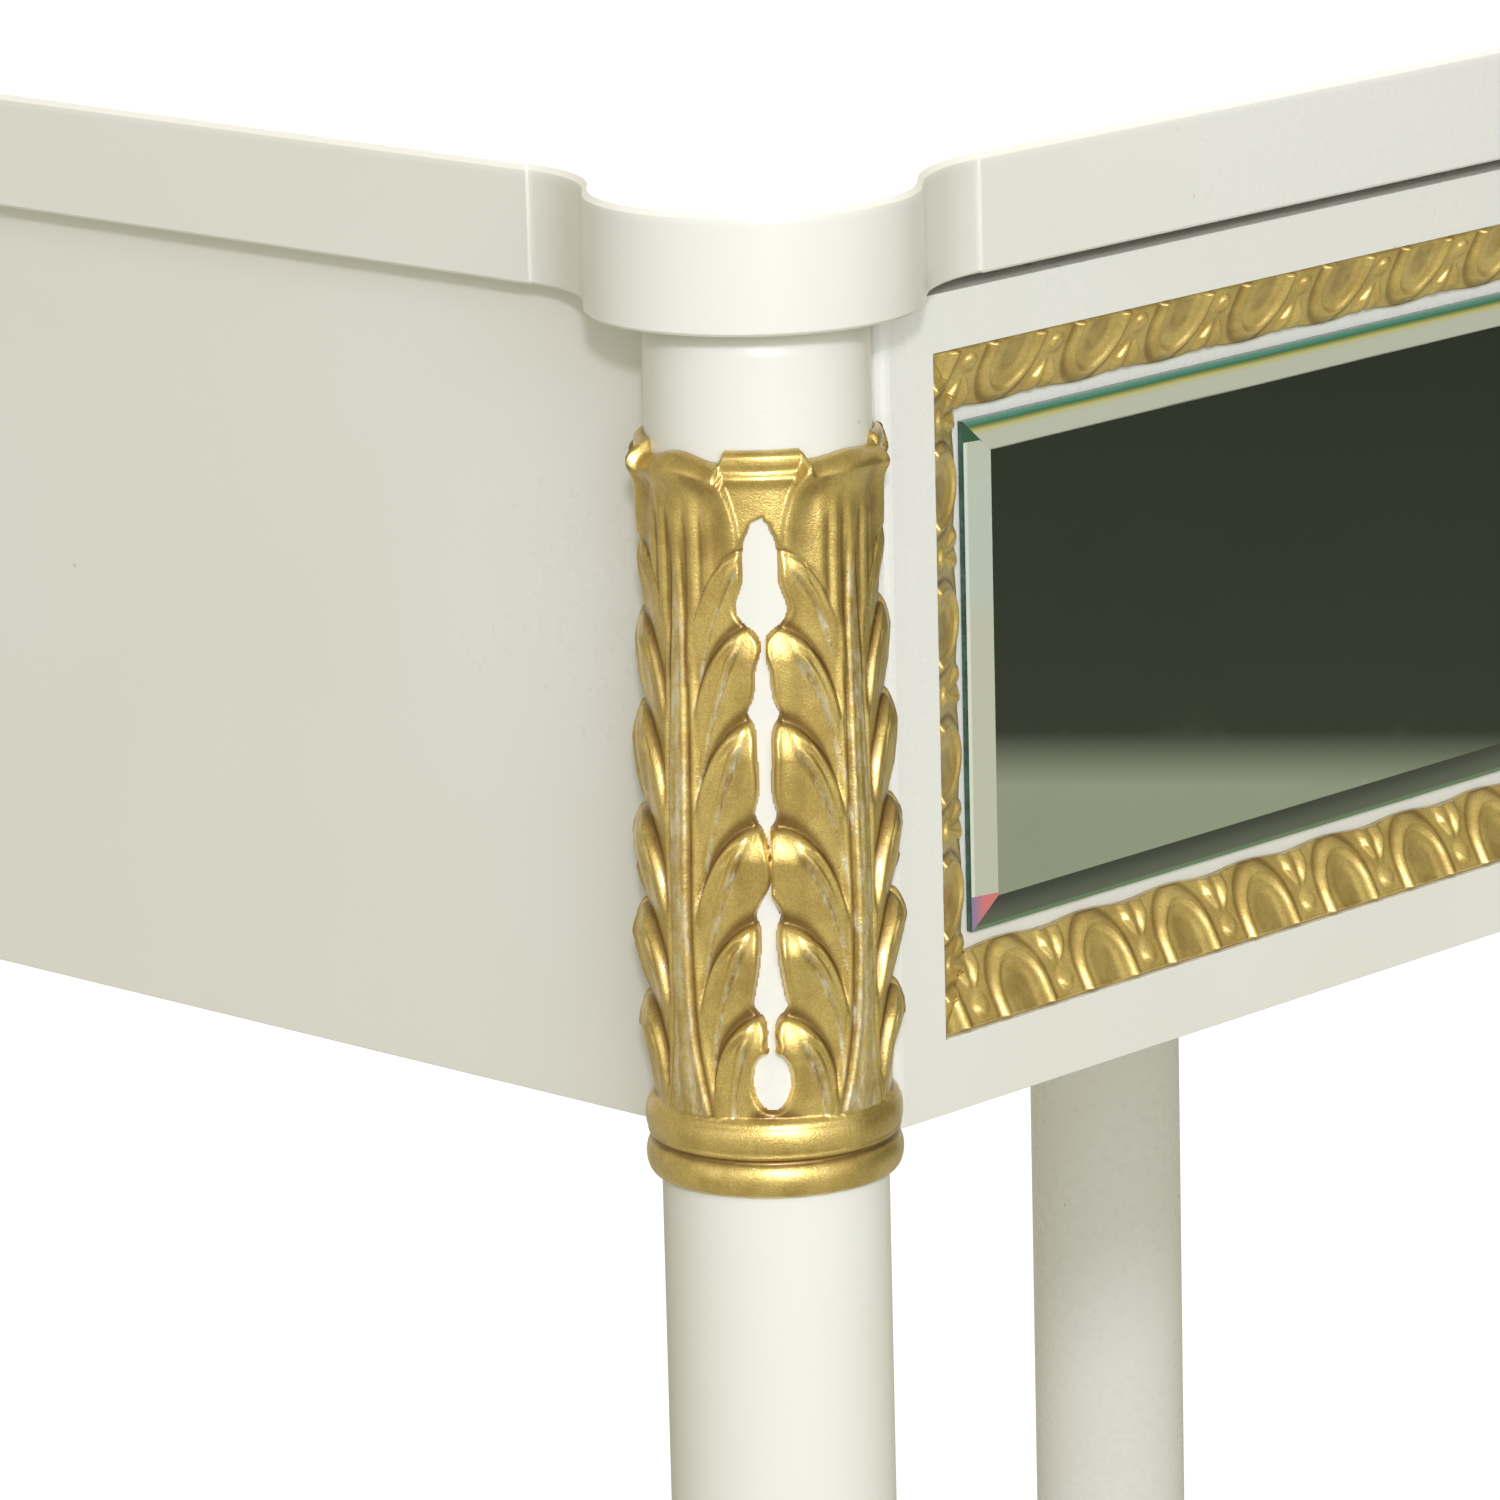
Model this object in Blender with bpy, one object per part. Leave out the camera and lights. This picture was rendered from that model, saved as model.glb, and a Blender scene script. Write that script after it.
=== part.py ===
"""A painted dressing table: column legs with gilt collars, and one mirror-fronted drawer.

Metres, +Z up. The origin is on the floor, under the middle of the table. The drawer opens towards -Y.
"""
import math

import bmesh
import bpy
from mathutils import Matrix, Vector

# Overall sizes
TABLE_HEIGHT = 0.760
LEG_SPAN_X = 0.703            # leg axis to leg axis, across the front
LEG_SPAN_Y = 0.518            # leg axis to leg axis, front to back
APRON_HEIGHT = 0.183          # panels and drawer front, up to the underside of the top
FIT_GAP = 0.0003              # between pieces that touch

# Top
SLAB_THICKNESS = 0.026
EAR_RADIUS = 0.0358           # round corner, centred on the leg
SIDE_OVERHANG = 0.0108        # past the leg axes, at the sides and the back
FRONT_OVERHANG = 0.0141       # past the leg axes, at the front
COVE_START = 0.0557           # along each edge, from the leg axis to where the cove begins
COVE_QUIRK = 0.0008           # small step in the edge where the cove begins
SLAB_TOP_ROUND = 0.0030
SLAB_UNDER_ROUND = 0.0006
EAR_SEGMENTS = 30
COVE_SEGMENTS = 8

# Legs
NECK_RADIUS = 0.0240
SHAFT_SWELL = 0.0003          # the shaft below is this much thicker than the neck
SHOULDER_ROUND = 0.0065
LEG_SEGMENTS = 40
PLINTH_REACH = 0.0029         # the plinth stands this far out of the shaft
PLINTH_TOP = 0.0180
BEAD_RADIUS = 0.0030
PANEL_SEAT = 0.0140           # how deep a side panel's end sits in the leg
GLIDE_RADIUS = 0.0180
GLIDE_THICKNESS = 0.0030
GLIDE_SEGMENTS = 16
STEM_RADIUS = 0.0040
STEM_LENGTH = 0.0150

# Carved collars
COLLAR_DROP = 0.0034          # below the apron
COLLAR_RING_TOP = 0.0138      # above the bottom of the apron
NECK_LENGTH = 0.0258          # bare leg between the collar and the top
COLLAR_RING_REACH = 0.0035    # the rings stand this far out of the neck
COLLAR_BELLY_REACH = 0.0046
COLLAR_WAIST_REACH = 0.0018
COLLAR_RIM_REACH = 0.0043
COLLAR_SEGMENTS = 28

# Carcass
PANEL_THICKNESS = 0.018
RAIL_DEPTH = 0.040
RAIL_BITE = 0.006             # how far a front rail ends inside the neck of a leg
TOP_RAIL_THICKNESS = 0.025
BOTTOM_RAIL_THICKNESS = 0.025
FINGER_LIP = 0.014            # the drawer front hangs this far below the bottom rail
CROSS_RAIL_DEPTH = 0.050
RUNNER_WIDTH = 0.024
RUNNER_THICKNESS = 0.012
GUIDE_WIDTH = 0.008
GUIDE_HEIGHT = 0.020
KICKER_THICKNESS = 0.012
BLOCK_WIDTH = 0.036
BLOCK_DEPTH = 0.030
STOP_WIDTH = 0.030
STOP_THICKNESS = 0.012
STOP_SPREAD = 0.400           # between the middles of the two stops
STOP_CATCH = 0.0055           # how far a stop reaches below the top of the drawer's back

# Drawer front, moulding and mirror
FRONT_SETOUT = 0.0111         # face of the drawer front, in front of the leg axes
FRONT_THICKNESS = 0.024
FRONT_SIDE_GAP = 0.0017       # from the shaft of the leg to the end of the drawer front
FRONT_TOP_GAP = 0.0030
FRONT_ARRIS = 0.0030
FRONT_STOP_GAP = 0.0005       # from the back of the drawer front to the rails
COLLAR_CLEARANCE = 0.0008     # from the collar to the passing end of the drawer front
FRAME_MARGIN_SIDE = 0.0168    # from the edge of the board to the gilt moulding
FRAME_MARGIN_BOTTOM = 0.0166
FRAME_MARGIN_TOP = 0.0127
POCKET_DEPTH = 0.0106
MOULDING_WIDTH = 0.0150
MOULDING_LIP = 0.0014         # thickness of the moulding's inner edge
SLIP_WIDTH = 0.0037           # painted margin between moulding and glass
GLASS_THICKNESS = 0.0030
GLASS_EDGE = 0.0015
BEVEL_WIDTH = 0.0071

# Drawer box
DRAWER_TRAVEL = 0.280
DRAWER_SIDE = 0.012
DRAWER_BACK_ROOM = 0.020      # behind the closed drawer
DRAWER_RUN_GAP = 0.0010       # each side, to the guides
KICKER_GAP = 0.0020           # from the drawer's side up to the kicker
KICKER_ROOM = 0.0054          # from the kicker up to the top rail's underside
BOTTOM_THICKNESS = 0.005
BOTTOM_RISE = 0.008
GROOVE_DEPTH = 0.005

# Screws
SHANK_RADIUS = 0.0020
HEAD_RADIUS = 0.0040
HEAD_THICKNESS = 0.0025
SLAB_BITE = 0.015
FRONT_BITE = 0.009
SCREW_SEGMENTS = 12
FRONT_SCREW_SPREAD = 0.480
FRONT_SCREW_PITCH = 0.045

# Places that follow from the sizes
HALF_X = LEG_SPAN_X / 2
HALF_Y = LEG_SPAN_Y / 2
SLAB_UNDERSIDE = TABLE_HEIGHT - SLAB_THICKNESS
APRON_BOTTOM = SLAB_UNDERSIDE - APRON_HEIGHT
SHAFT_RADIUS = NECK_RADIUS + SHAFT_SWELL
PLINTH_RADIUS = SHAFT_RADIUS + PLINTH_REACH
COLLAR_TOP = APRON_HEIGHT - NECK_LENGTH    # above the bottom of the apron
PANEL_INNER_X = HALF_X - PANEL_THICKNESS
BACK_INNER_Y = HALF_Y - PANEL_THICKNESS
UNDER_SLAB = SLAB_UNDERSIDE - FIT_GAP
FRONT_FACE_Y = -HALF_Y - FRONT_SETOUT
FRONT_BACK_Y = FRONT_FACE_Y + FRONT_THICKNESS
FRONT_HALF_X = HALF_X - SHAFT_RADIUS - FRONT_SIDE_GAP
FRONT_TOP = SLAB_UNDERSIDE - FRONT_TOP_GAP
RAIL_FRONT_Y = FRONT_BACK_Y + FRONT_STOP_GAP
RAIL_BACK_Y = RAIL_FRONT_Y + RAIL_DEPTH
RAIL_HALF_X = PANEL_INNER_X - FIT_GAP
RAIL_END_X = max(RAIL_HALF_X, HALF_X - NECK_RADIUS + RAIL_BITE - FIT_GAP)
TOP_RAIL_BOTTOM = UNDER_SLAB - TOP_RAIL_THICKNESS
BOTTOM_RAIL_BOTTOM = APRON_BOTTOM + FINGER_LIP
BOTTOM_RAIL_TOP = BOTTOM_RAIL_BOTTOM + BOTTOM_RAIL_THICKNESS
RUNNER_TOP = BOTTOM_RAIL_TOP
DRAWER_BOTTOM = RUNNER_TOP + FIT_GAP
DRAWER_TOP = TOP_RAIL_BOTTOM - KICKER_ROOM - KICKER_THICKNESS - KICKER_GAP
DRAWER_HALF_X = RAIL_HALF_X - GUIDE_WIDTH - DRAWER_RUN_GAP
DRAWER_INNER_X = DRAWER_HALF_X - DRAWER_SIDE
DRAWER_FRONT_Y = FRONT_BACK_Y + FIT_GAP
DRAWER_BACK_Y = BACK_INNER_Y - DRAWER_BACK_ROOM
STOP_BACK_Y = DRAWER_BACK_Y - DRAWER_SIDE - DRAWER_TRAVEL - FIT_GAP
FRAME_HALF_X = FRONT_HALF_X - FRAME_MARGIN_SIDE
FRAME_LOW = APRON_BOTTOM + FRAME_MARGIN_BOTTOM
FRAME_HIGH = FRONT_TOP - FRAME_MARGIN_TOP
POCKET_FLOOR_Y = FRONT_FACE_Y + POCKET_DEPTH


def clear_scene():
    for item in list(bpy.data.objects):
        bpy.data.objects.remove(item, do_unlink=True)


def material(name, colour, roughness, metallic=0.0):
    made = bpy.data.materials.new(name)
    made.use_nodes = True
    shader = made.node_tree.nodes["Principled BSDF"]
    shader.inputs["Base Color"].default_value = (*colour, 1.0)
    shader.inputs["Roughness"].default_value = roughness
    shader.inputs["Metallic"].default_value = metallic
    return made


def place(name, bm, mat, location=(0, 0, 0), parent=None, smooth_angle=35):
    """Turn a bmesh into a named object, with its faces pointing out."""
    bmesh.ops.recalc_face_normals(bm, faces=bm.faces)
    mesh = bpy.data.meshes.new(name)
    bm.to_mesh(mesh)
    bm.free()
    mesh.materials.append(mat)
    mesh.shade_smooth()
    mesh.set_sharp_from_angle(angle=math.radians(smooth_angle))
    item = bpy.data.objects.new(name, mesh)
    bpy.context.scene.collection.objects.link(item)
    item.parent = parent
    item.location = Vector(location) - (parent.location if parent else Vector())
    return item


def bridge_rings(rings, loop=False):
    """Join rings of points into one closed skin. A loop also joins the last ring to the first."""
    bm = bmesh.new()
    rows = [[bm.verts.new(point) for point in ring] for ring in rings]
    pairs = list(zip(rows, rows[1:]))
    if loop:
        pairs.append((rows[-1], rows[0]))
    else:
        bm.faces.new(rows[0])
        bm.faces.new(rows[-1])
    for low, high in pairs:
        for i in range(len(low)):
            j = (i + 1) % len(low)
            bm.faces.new((low[i], low[j], high[j], high[i]))
    return bm


def turned(profile, segments, loop=False):
    """A lathe shape about Z from (radius, height) points."""
    angles = [2 * math.pi * i / segments for i in range(segments)]
    rings = [[(r * math.cos(a), r * math.sin(a), z) for a in angles] for r, z in profile]
    return bridge_rings(rings, loop)


def arc(centre, radius, start, end, segments):
    """Points on an arc, angles in degrees, both ends included."""
    points = []
    for i in range(segments + 1):
        a = math.radians(start + (end - start) * i / segments)
        points.append((centre[0] + radius * math.cos(a), centre[1] + radius * math.sin(a)))
    return points


def prism(outline, axis, low, high):
    """Extrude a flat outline along X, Y or Z. The outline's points are in the other two axes, in order."""
    def point(pair, along):
        values = list(pair)
        values.insert("XYZ".index(axis), along)
        return values
    return bridge_rings([[point(pair, low) for pair in outline], [point(pair, high) for pair in outline]])


def box(low, high):
    outline = [(low[0], low[1]), (high[0], low[1]), (high[0], high[1]), (low[0], high[1])]
    return prism(outline, "Z", low[2], high[2])


def board(name, low, high, mat, parent=None):
    """A plain board between two corners, with its origin in its middle."""
    centre = (Vector(low) + Vector(high)) / 2
    return place(name, box(Vector(low) - centre, Vector(high) - centre), mat, centre, parent)


def cut(item, bm, name):
    """Cut a closed shape, given in the item's own coordinates, out of the item."""
    bmesh.ops.recalc_face_normals(bm, faces=bm.faces)
    mesh = bpy.data.meshes.new(name)
    bm.to_mesh(mesh)
    bm.free()
    cutter = bpy.data.objects.new(name, mesh)
    bpy.context.scene.collection.objects.link(cutter)
    cutter.parent = item
    cutter.hide_render = True
    cutter.display_type = "WIRE"
    tool = item.modifiers.new(name, "BOOLEAN")
    tool.operation = "DIFFERENCE"
    tool.object = cutter


def moved(bm, offset):
    bmesh.ops.translate(bm, verts=bm.verts, vec=offset)
    return bm


def along_y(bm):
    """Lay a shape that stands along Z down along Y, its top towards -Y."""
    spin = Matrix.Rotation(math.radians(90), 3, "X")
    bmesh.ops.rotate(bm, verts=bm.verts, cent=(0, 0, 0), matrix=spin)
    return bm


def corner_name(side, end):
    return ("front" if end < 0 else "back") + ("_left" if side < 0 else "_right")


CORNERS = [(-1, -1), (1, -1), (-1, 1), (1, 1)]


# Top
def corner_outline(side_edge, other_edge):
    """A corner of the top about its leg, measured outward, from the side edge round to the other edge.

    From each straight edge a cove, after a small step, runs into the round ear.
    """
    def cove(edge):
        inner = edge - COVE_QUIRK
        radius = (inner ** 2 + COVE_START ** 2 - EAR_RADIUS ** 2) / (2 * (EAR_RADIUS - inner))
        centre = (inner + radius, -COVE_START)
        to_leg = math.degrees(math.atan2(-centre[1], -centre[0]))
        run = [(edge, -COVE_START)] + arc(centre, radius, 180, to_leg, COVE_SEGMENTS)
        return run, math.degrees(math.atan2(centre[1], centre[0]))
    side, start = cove(side_edge)
    other, turn = cove(other_edge)
    ear = arc((0, 0), EAR_RADIUS, start, 90 - turn, EAR_SEGMENTS)[1:-1]
    return side + ear + [(v, u) for u, v in reversed(other)]


def slab_outline():
    """The plan of the top, anticlockwise from the front right corner."""
    points = []
    for side, end in [(1, -1), (1, 1), (-1, 1), (-1, -1)]:
        corner = corner_outline(SIDE_OVERHANG, FRONT_OVERHANG if end < 0 else SIDE_OVERHANG)
        if side * end < 0:
            corner.reverse()
        points += [(side * (HALF_X + u), end * (HALF_Y + v)) for u, v in corner]
    return points


def inset(points, distance):
    """Move an anticlockwise outline inward."""
    result = []
    for i, here in enumerate(points):
        before = Vector(here) - Vector(points[i - 1])
        after = Vector(points[(i + 1) % len(points)]) - Vector(here)
        out = [Vector((edge.y, -edge.x)).normalized() for edge in (before, after)]
        step = (out[0] + out[1]) / (1 + out[0].dot(out[1]))
        result.append(tuple(Vector(here) - step * distance))
    return result


def make_slab(mat):
    outline = slab_outline()
    levels = [(SLAB_UNDER_ROUND, 0.0), (0.0, SLAB_UNDER_ROUND)]
    for x, z in arc((SLAB_TOP_ROUND, SLAB_THICKNESS - SLAB_TOP_ROUND), SLAB_TOP_ROUND, 180, 90, 3):
        levels.append((x, z))
    rings = [[(x, y, z) for x, y in inset(outline, move)] for move, z in levels]
    slab = place("top_slab", bridge_rings(rings), mat, (0, 0, SLAB_UNDERSIDE))
    for side, end in CORNERS:
        x, y = block_screw_place(side, end)
        bore = SHANK_RADIUS + FIT_GAP
        hole = turned([(bore, -SLAB_BITE), (bore, SLAB_BITE)], SCREW_SEGMENTS)
        cut(slab, moved(hole, (x, y, 0)), "slab_hole_" + corner_name(side, end))


# Legs
def leg_profile():
    """Radius and height, from the glide's hole under the foot up to the shoulder under the top."""
    foot = GLIDE_THICKNESS + FIT_GAP
    hole = STEM_RADIUS + FIT_GAP
    bead_low = PLINTH_TOP + 0.0045
    bead = arc((SHAFT_RADIUS - 0.0002, bead_low + BEAD_RADIUS), BEAD_RADIUS, -80, 80, 3)
    change = APRON_BOTTOM + COLLAR_RING_TOP / 2
    top = UNDER_SLAB
    shoulder = arc((NECK_RADIUS - SHOULDER_ROUND, top - SHOULDER_ROUND), SHOULDER_ROUND, 0, 75, 4)
    return [
        (hole, foot + STEM_LENGTH + FIT_GAP), (hole, foot),
        (PLINTH_RADIUS - 0.0015, foot), (PLINTH_RADIUS, foot + 0.0015), (PLINTH_RADIUS, PLINTH_TOP),
        (PLINTH_RADIUS - 0.0012, PLINTH_TOP + 0.0015), (SHAFT_RADIUS + 0.0006, bead_low - 0.0005),
        *bead, (SHAFT_RADIUS, bead_low + 3 * BEAD_RADIUS),
        (SHAFT_RADIUS, change), (NECK_RADIUS, change + 0.0010),
        *shoulder,
    ]


def seat(corner, other):
    """The space a board takes in a leg, with the fitting gap all round."""
    low = [min(a, b) - FIT_GAP for a, b in zip(corner, other)]
    high = [max(a, b) + FIT_GAP for a, b in zip(corner, other)]
    return low, high


def make_leg(side, end, mat):
    axis = Vector((side * HALF_X, end * HALF_Y, 0))
    name = corner_name(side, end)
    leg = place("leg_" + name, turned(leg_profile(), LEG_SEGMENTS), mat, axis)
    past_top = SLAB_UNDERSIDE + FIT_GAP
    seats = [(side_panel_box(side), "side")]
    if end < 0:
        seats += [(rail_box(TOP_RAIL_BOTTOM, UNDER_SLAB), "top_rail")]
        seats += [(rail_box(BOTTOM_RAIL_BOTTOM, BOTTOM_RAIL_TOP), "bottom_rail")]
    else:
        seats += [(back_panel_box(), "back")]
        seats += [(inner_corner_box(side), "inner_corner")]
    for (low, high), label in seats:
        low, high = seat(low, high)
        if label != "bottom_rail":
            high[2] = past_top
        cut(leg, box(Vector(low) - axis, Vector(high) - axis), f"{label}_seat_{name}")


def make_glide(side, end, mat):
    stem_top = GLIDE_THICKNESS + STEM_LENGTH
    profile = [
        (GLIDE_RADIUS - 0.0008, 0), (GLIDE_RADIUS, 0.0008), (GLIDE_RADIUS, GLIDE_THICKNESS),
        (STEM_RADIUS, GLIDE_THICKNESS), (STEM_RADIUS, stem_top),
    ]
    axis = (side * HALF_X, end * HALF_Y, 0)
    place("foot_glide_" + corner_name(side, end), turned(profile, GLIDE_SEGMENTS), mat, axis)


def collar_profile():
    """Two rings below, then the leaves' belly, waist and turned-out rim, from the bore and back to it."""
    bore = SHAFT_RADIUS + FIT_GAP
    ring_height = (COLLAR_RING_TOP + COLLAR_DROP) / 2
    rings = []
    for number in range(2):
        middle = -COLLAR_DROP + ring_height * (number + 0.5)
        reach = NECK_RADIUS + COLLAR_RING_REACH
        for x, z in arc((0, 0), 1, -75, 75, 3):
            rings.append((reach - 0.0016 * (1 - x), middle + ring_height * 0.5 * z))
    height = COLLAR_TOP - COLLAR_RING_TOP
    leaves = [
        (NECK_RADIUS + 0.0030, COLLAR_RING_TOP + 0.0010),
        (NECK_RADIUS + COLLAR_BELLY_REACH, COLLAR_RING_TOP + height * 0.22),
        (NECK_RADIUS + 0.0040, COLLAR_RING_TOP + height * 0.45),
        (NECK_RADIUS + COLLAR_WAIST_REACH, COLLAR_RING_TOP + height * 0.72),
        (NECK_RADIUS + 0.0026, COLLAR_RING_TOP + height * 0.86),
        (NECK_RADIUS + COLLAR_RIM_REACH, COLLAR_RING_TOP + height * 0.96),
        (NECK_RADIUS + COLLAR_RIM_REACH - 0.0008, COLLAR_TOP),
    ]
    return [(bore, -COLLAR_DROP), *rings, *leaves, (bore, COLLAR_TOP)]


def make_collar(side, end, mat):
    """A sleeve around the leg, open where the panels and the drawer front meet the leg."""
    name = corner_name(side, end)
    axis = (side * HALF_X, end * HALF_Y, APRON_BOTTOM)
    collar = place("collar_" + name, turned(collar_profile(), COLLAR_SEGMENTS, loop=True), mat, axis)
    reach = 2 * EAR_RADIUS
    low, high = -reach, COLLAR_TOP + reach
    # The side panel's face lies on the leg's axis, and so does the back panel's.
    setout = FRONT_SETOUT if end < 0 else 0
    x = sorted((side * FIT_GAP, -side * reach))
    y = sorted((end * (setout + FIT_GAP), -end * reach))
    cut(collar, box((x[0], y[0], low), (x[1], y[1], high)), "inner_" + name)
    if end < 0:
        flat = HALF_X - FRONT_HALF_X - COLLAR_CLEARANCE
        x = sorted((-side * flat, -side * reach))
        cut(collar, box((x[0], -reach, low), (x[1], reach, high)), "passing_" + name)


# Carcass
def side_panel_box(side):
    low = (side * PANEL_INNER_X, -HALF_Y + PANEL_SEAT, APRON_BOTTOM)
    return low, (side * HALF_X, HALF_Y - PANEL_SEAT, UNDER_SLAB)


def back_panel_box():
    reach = PANEL_INNER_X - FIT_GAP
    return (-reach, BACK_INNER_Y, APRON_BOTTOM), (reach, HALF_Y, UNDER_SLAB)


def inner_corner_box(side):
    """Inside the two panels' faces, where no part of a back leg stays."""
    reach = 2 * EAR_RADIUS
    low = (side * (PANEL_INNER_X - reach), BACK_INNER_Y - reach, APRON_BOTTOM)
    return low, (side * PANEL_INNER_X, BACK_INNER_Y, UNDER_SLAB)


def rail_box(bottom, top):
    return (-RAIL_END_X, RAIL_FRONT_Y, bottom), (RAIL_END_X, RAIL_BACK_Y, top)


def house_rails(panel, label):
    """Housings in a thick side panel for the ends of the front rails, so that they still reach the legs."""
    for bottom, top, level in (
            (TOP_RAIL_BOTTOM, UNDER_SLAB, "top"), (BOTTOM_RAIL_BOTTOM, BOTTOM_RAIL_TOP, "bottom")):
        low, high = (Vector(corner) for corner in seat(*rail_box(bottom, top)))
        cut(panel, moved(box(low, high), -panel.location), f"housing_{level}_{label}")


def block_place(side, end):
    """The middle of a corner block, in plan: against the side panel, and the rail or the back panel."""
    x = side * (RAIL_HALF_X - BLOCK_WIDTH / 2)
    near = RAIL_BACK_Y + FIT_GAP + BLOCK_DEPTH / 2
    far = BACK_INNER_Y - FIT_GAP - BLOCK_DEPTH / 2
    return x, (near if end < 0 else far)


def block_screw_place(side, end):
    """A screw stands clear of the kicker under the block."""
    y = block_place(side, end)[1]
    return side * (RAIL_HALF_X - RUNNER_WIDTH - HEAD_RADIUS - 0.0015), y


def screw(name, location, length, mat, parent=None, turn=None):
    """A pan-head screw. Its shank points up from the underside of the head."""
    profile = [
        (HEAD_RADIUS * 0.6, -HEAD_THICKNESS), (HEAD_RADIUS, -HEAD_THICKNESS * 0.4), (HEAD_RADIUS, 0),
        (SHANK_RADIUS, 0), (SHANK_RADIUS, length - SHANK_RADIUS), (SHANK_RADIUS * 0.3, length),
    ]
    item = place(name, turned(profile, SCREW_SEGMENTS), mat, location, parent)
    if turn:
        item.rotation_euler = turn


def make_carcass(paint, timber, steel):
    for side, label in ((-1, "left"), (1, "right")):
        low, high = side_panel_box(side)
        low, high = [min(a, b) for a, b in zip(low, high)], [max(a, b) for a, b in zip(low, high)]
        panel = board("side_panel_" + label, low, high, paint)
        if RAIL_END_X > RAIL_HALF_X + FIT_GAP:
            house_rails(panel, label)
        make_runner(side, label, timber)
        make_kicker(side, label, timber)
        x = side * STOP_SPREAD / 2
        board(
            "pull_stop_" + label,
            (x - STOP_WIDTH / 2, STOP_BACK_Y - STOP_THICKNESS, DRAWER_TOP - STOP_CATCH),
            (x + STOP_WIDTH / 2, STOP_BACK_Y, TOP_RAIL_BOTTOM - FIT_GAP), timber)
    board("back_panel", *back_panel_box(), paint)
    board("front_top_rail", *rail_box(TOP_RAIL_BOTTOM, UNDER_SLAB), timber)
    board("front_bottom_rail", *rail_box(BOTTOM_RAIL_BOTTOM, BOTTOM_RAIL_TOP), timber)
    cross_back = STOP_BACK_Y + CROSS_RAIL_DEPTH / 2
    board(
        "cross_rail", (-RAIL_HALF_X, cross_back - CROSS_RAIL_DEPTH, TOP_RAIL_BOTTOM),
        (RAIL_HALF_X, cross_back, UNDER_SLAB), timber)
    for side, end in CORNERS:
        make_block(side, end, timber, steel)


def make_runner(side, label, mat):
    """A ledge under the drawer's side, with a guide beside it, along the side panel."""
    ledge_low = RUNNER_TOP - RUNNER_THICKNESS
    guide_top = RUNNER_TOP + GUIDE_HEIGHT
    ledge_x, guide_x = RAIL_HALF_X - RUNNER_WIDTH, RAIL_HALF_X - GUIDE_WIDTH
    outline = [
        (RAIL_HALF_X, ledge_low), (ledge_x, ledge_low), (ledge_x, RUNNER_TOP),
        (guide_x, RUNNER_TOP), (guide_x, guide_top), (RAIL_HALF_X, guide_top),
    ]
    front, back = RAIL_BACK_Y + FIT_GAP, BACK_INNER_Y - FIT_GAP
    origin = (side * RAIL_HALF_X, (front + back) / 2, RUNNER_TOP)
    local = [(side * (x - RAIL_HALF_X), z - RUNNER_TOP) for x, z in outline]
    half = (back - front) / 2
    place("runner_" + label, prism(local, "Y", -half, half), mat, origin)


def make_kicker(side, label, mat):
    """Above the drawer's side, so that the open drawer does not tip."""
    bottom = DRAWER_TOP + KICKER_GAP
    inner, outer = RAIL_HALF_X - RUNNER_WIDTH, RAIL_HALF_X
    x = sorted((side * inner, side * outer))
    front, back = RAIL_BACK_Y + FIT_GAP, BACK_INNER_Y - FIT_GAP
    board("kicker_" + label, (x[0], front, bottom), (x[1], back, bottom + KICKER_THICKNESS), mat)


def make_block(side, end, mat, steel):
    """A block in the corner under the top, with a screw up into the top."""
    name = corner_name(side, end)
    x, y = block_place(side, end)
    half = Vector((BLOCK_WIDTH / 2, BLOCK_DEPTH / 2, TOP_RAIL_THICKNESS / 2))
    centre = Vector((x, y, UNDER_SLAB - TOP_RAIL_THICKNESS / 2))
    block = place("corner_block_" + name, box(-half, half), mat, centre)
    screw_x, screw_y = block_screw_place(side, end)
    bore = SHANK_RADIUS + FIT_GAP
    hole = turned([(bore, -TOP_RAIL_THICKNESS), (bore, TOP_RAIL_THICKNESS)], SCREW_SEGMENTS)
    cut(block, moved(hole, (screw_x - x, screw_y - y, 0)), "block_hole_" + name)
    under = UNDER_SLAB - TOP_RAIL_THICKNESS - FIT_GAP
    length = SLAB_UNDERSIDE + SLAB_BITE - 2 * FIT_GAP - under
    screw("slab_screw_" + name, (screw_x, screw_y, under), length, steel)


# Drawer
def make_drawer_front(paint, slider):
    """A board with rounded ends, and a shallow pocket in its face for the moulding and the mirror."""
    centre = Vector((0, (FRONT_FACE_Y + FRONT_BACK_Y) / 2, (APRON_BOTTOM + FRONT_TOP) / 2))
    half_x, half_y = FRONT_HALF_X, FRONT_THICKNESS / 2
    half_z = (FRONT_TOP - APRON_BOTTOM) / 2
    left = arc((-half_x + FRONT_ARRIS, -half_y + FRONT_ARRIS), FRONT_ARRIS, 180, 270, 4)
    right = arc((half_x - FRONT_ARRIS, -half_y + FRONT_ARRIS), FRONT_ARRIS, 270, 360, 4)
    outline = left + right + [(half_x, half_y), (-half_x, half_y)]
    front = place("drawer_front", prism(outline, "Z", -half_z, half_z), paint, centre, slider)
    low = Vector((-FRAME_HALF_X, FRONT_FACE_Y - POCKET_DEPTH, FRAME_LOW)) - centre
    high = Vector((FRAME_HALF_X, POCKET_FLOOR_Y, FRAME_HIGH)) - centre
    cut(front, box(low, high), "mirror_pocket")
    bore = SHANK_RADIUS + FIT_GAP
    for label, x, z in front_screw_places():
        hole = along_y(turned([(bore, -FRONT_BITE), (bore, FRONT_BITE)], SCREW_SEGMENTS))
        cut(front, moved(hole, Vector((x, FRONT_BACK_Y, z)) - centre), "front_hole_" + label)


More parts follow.
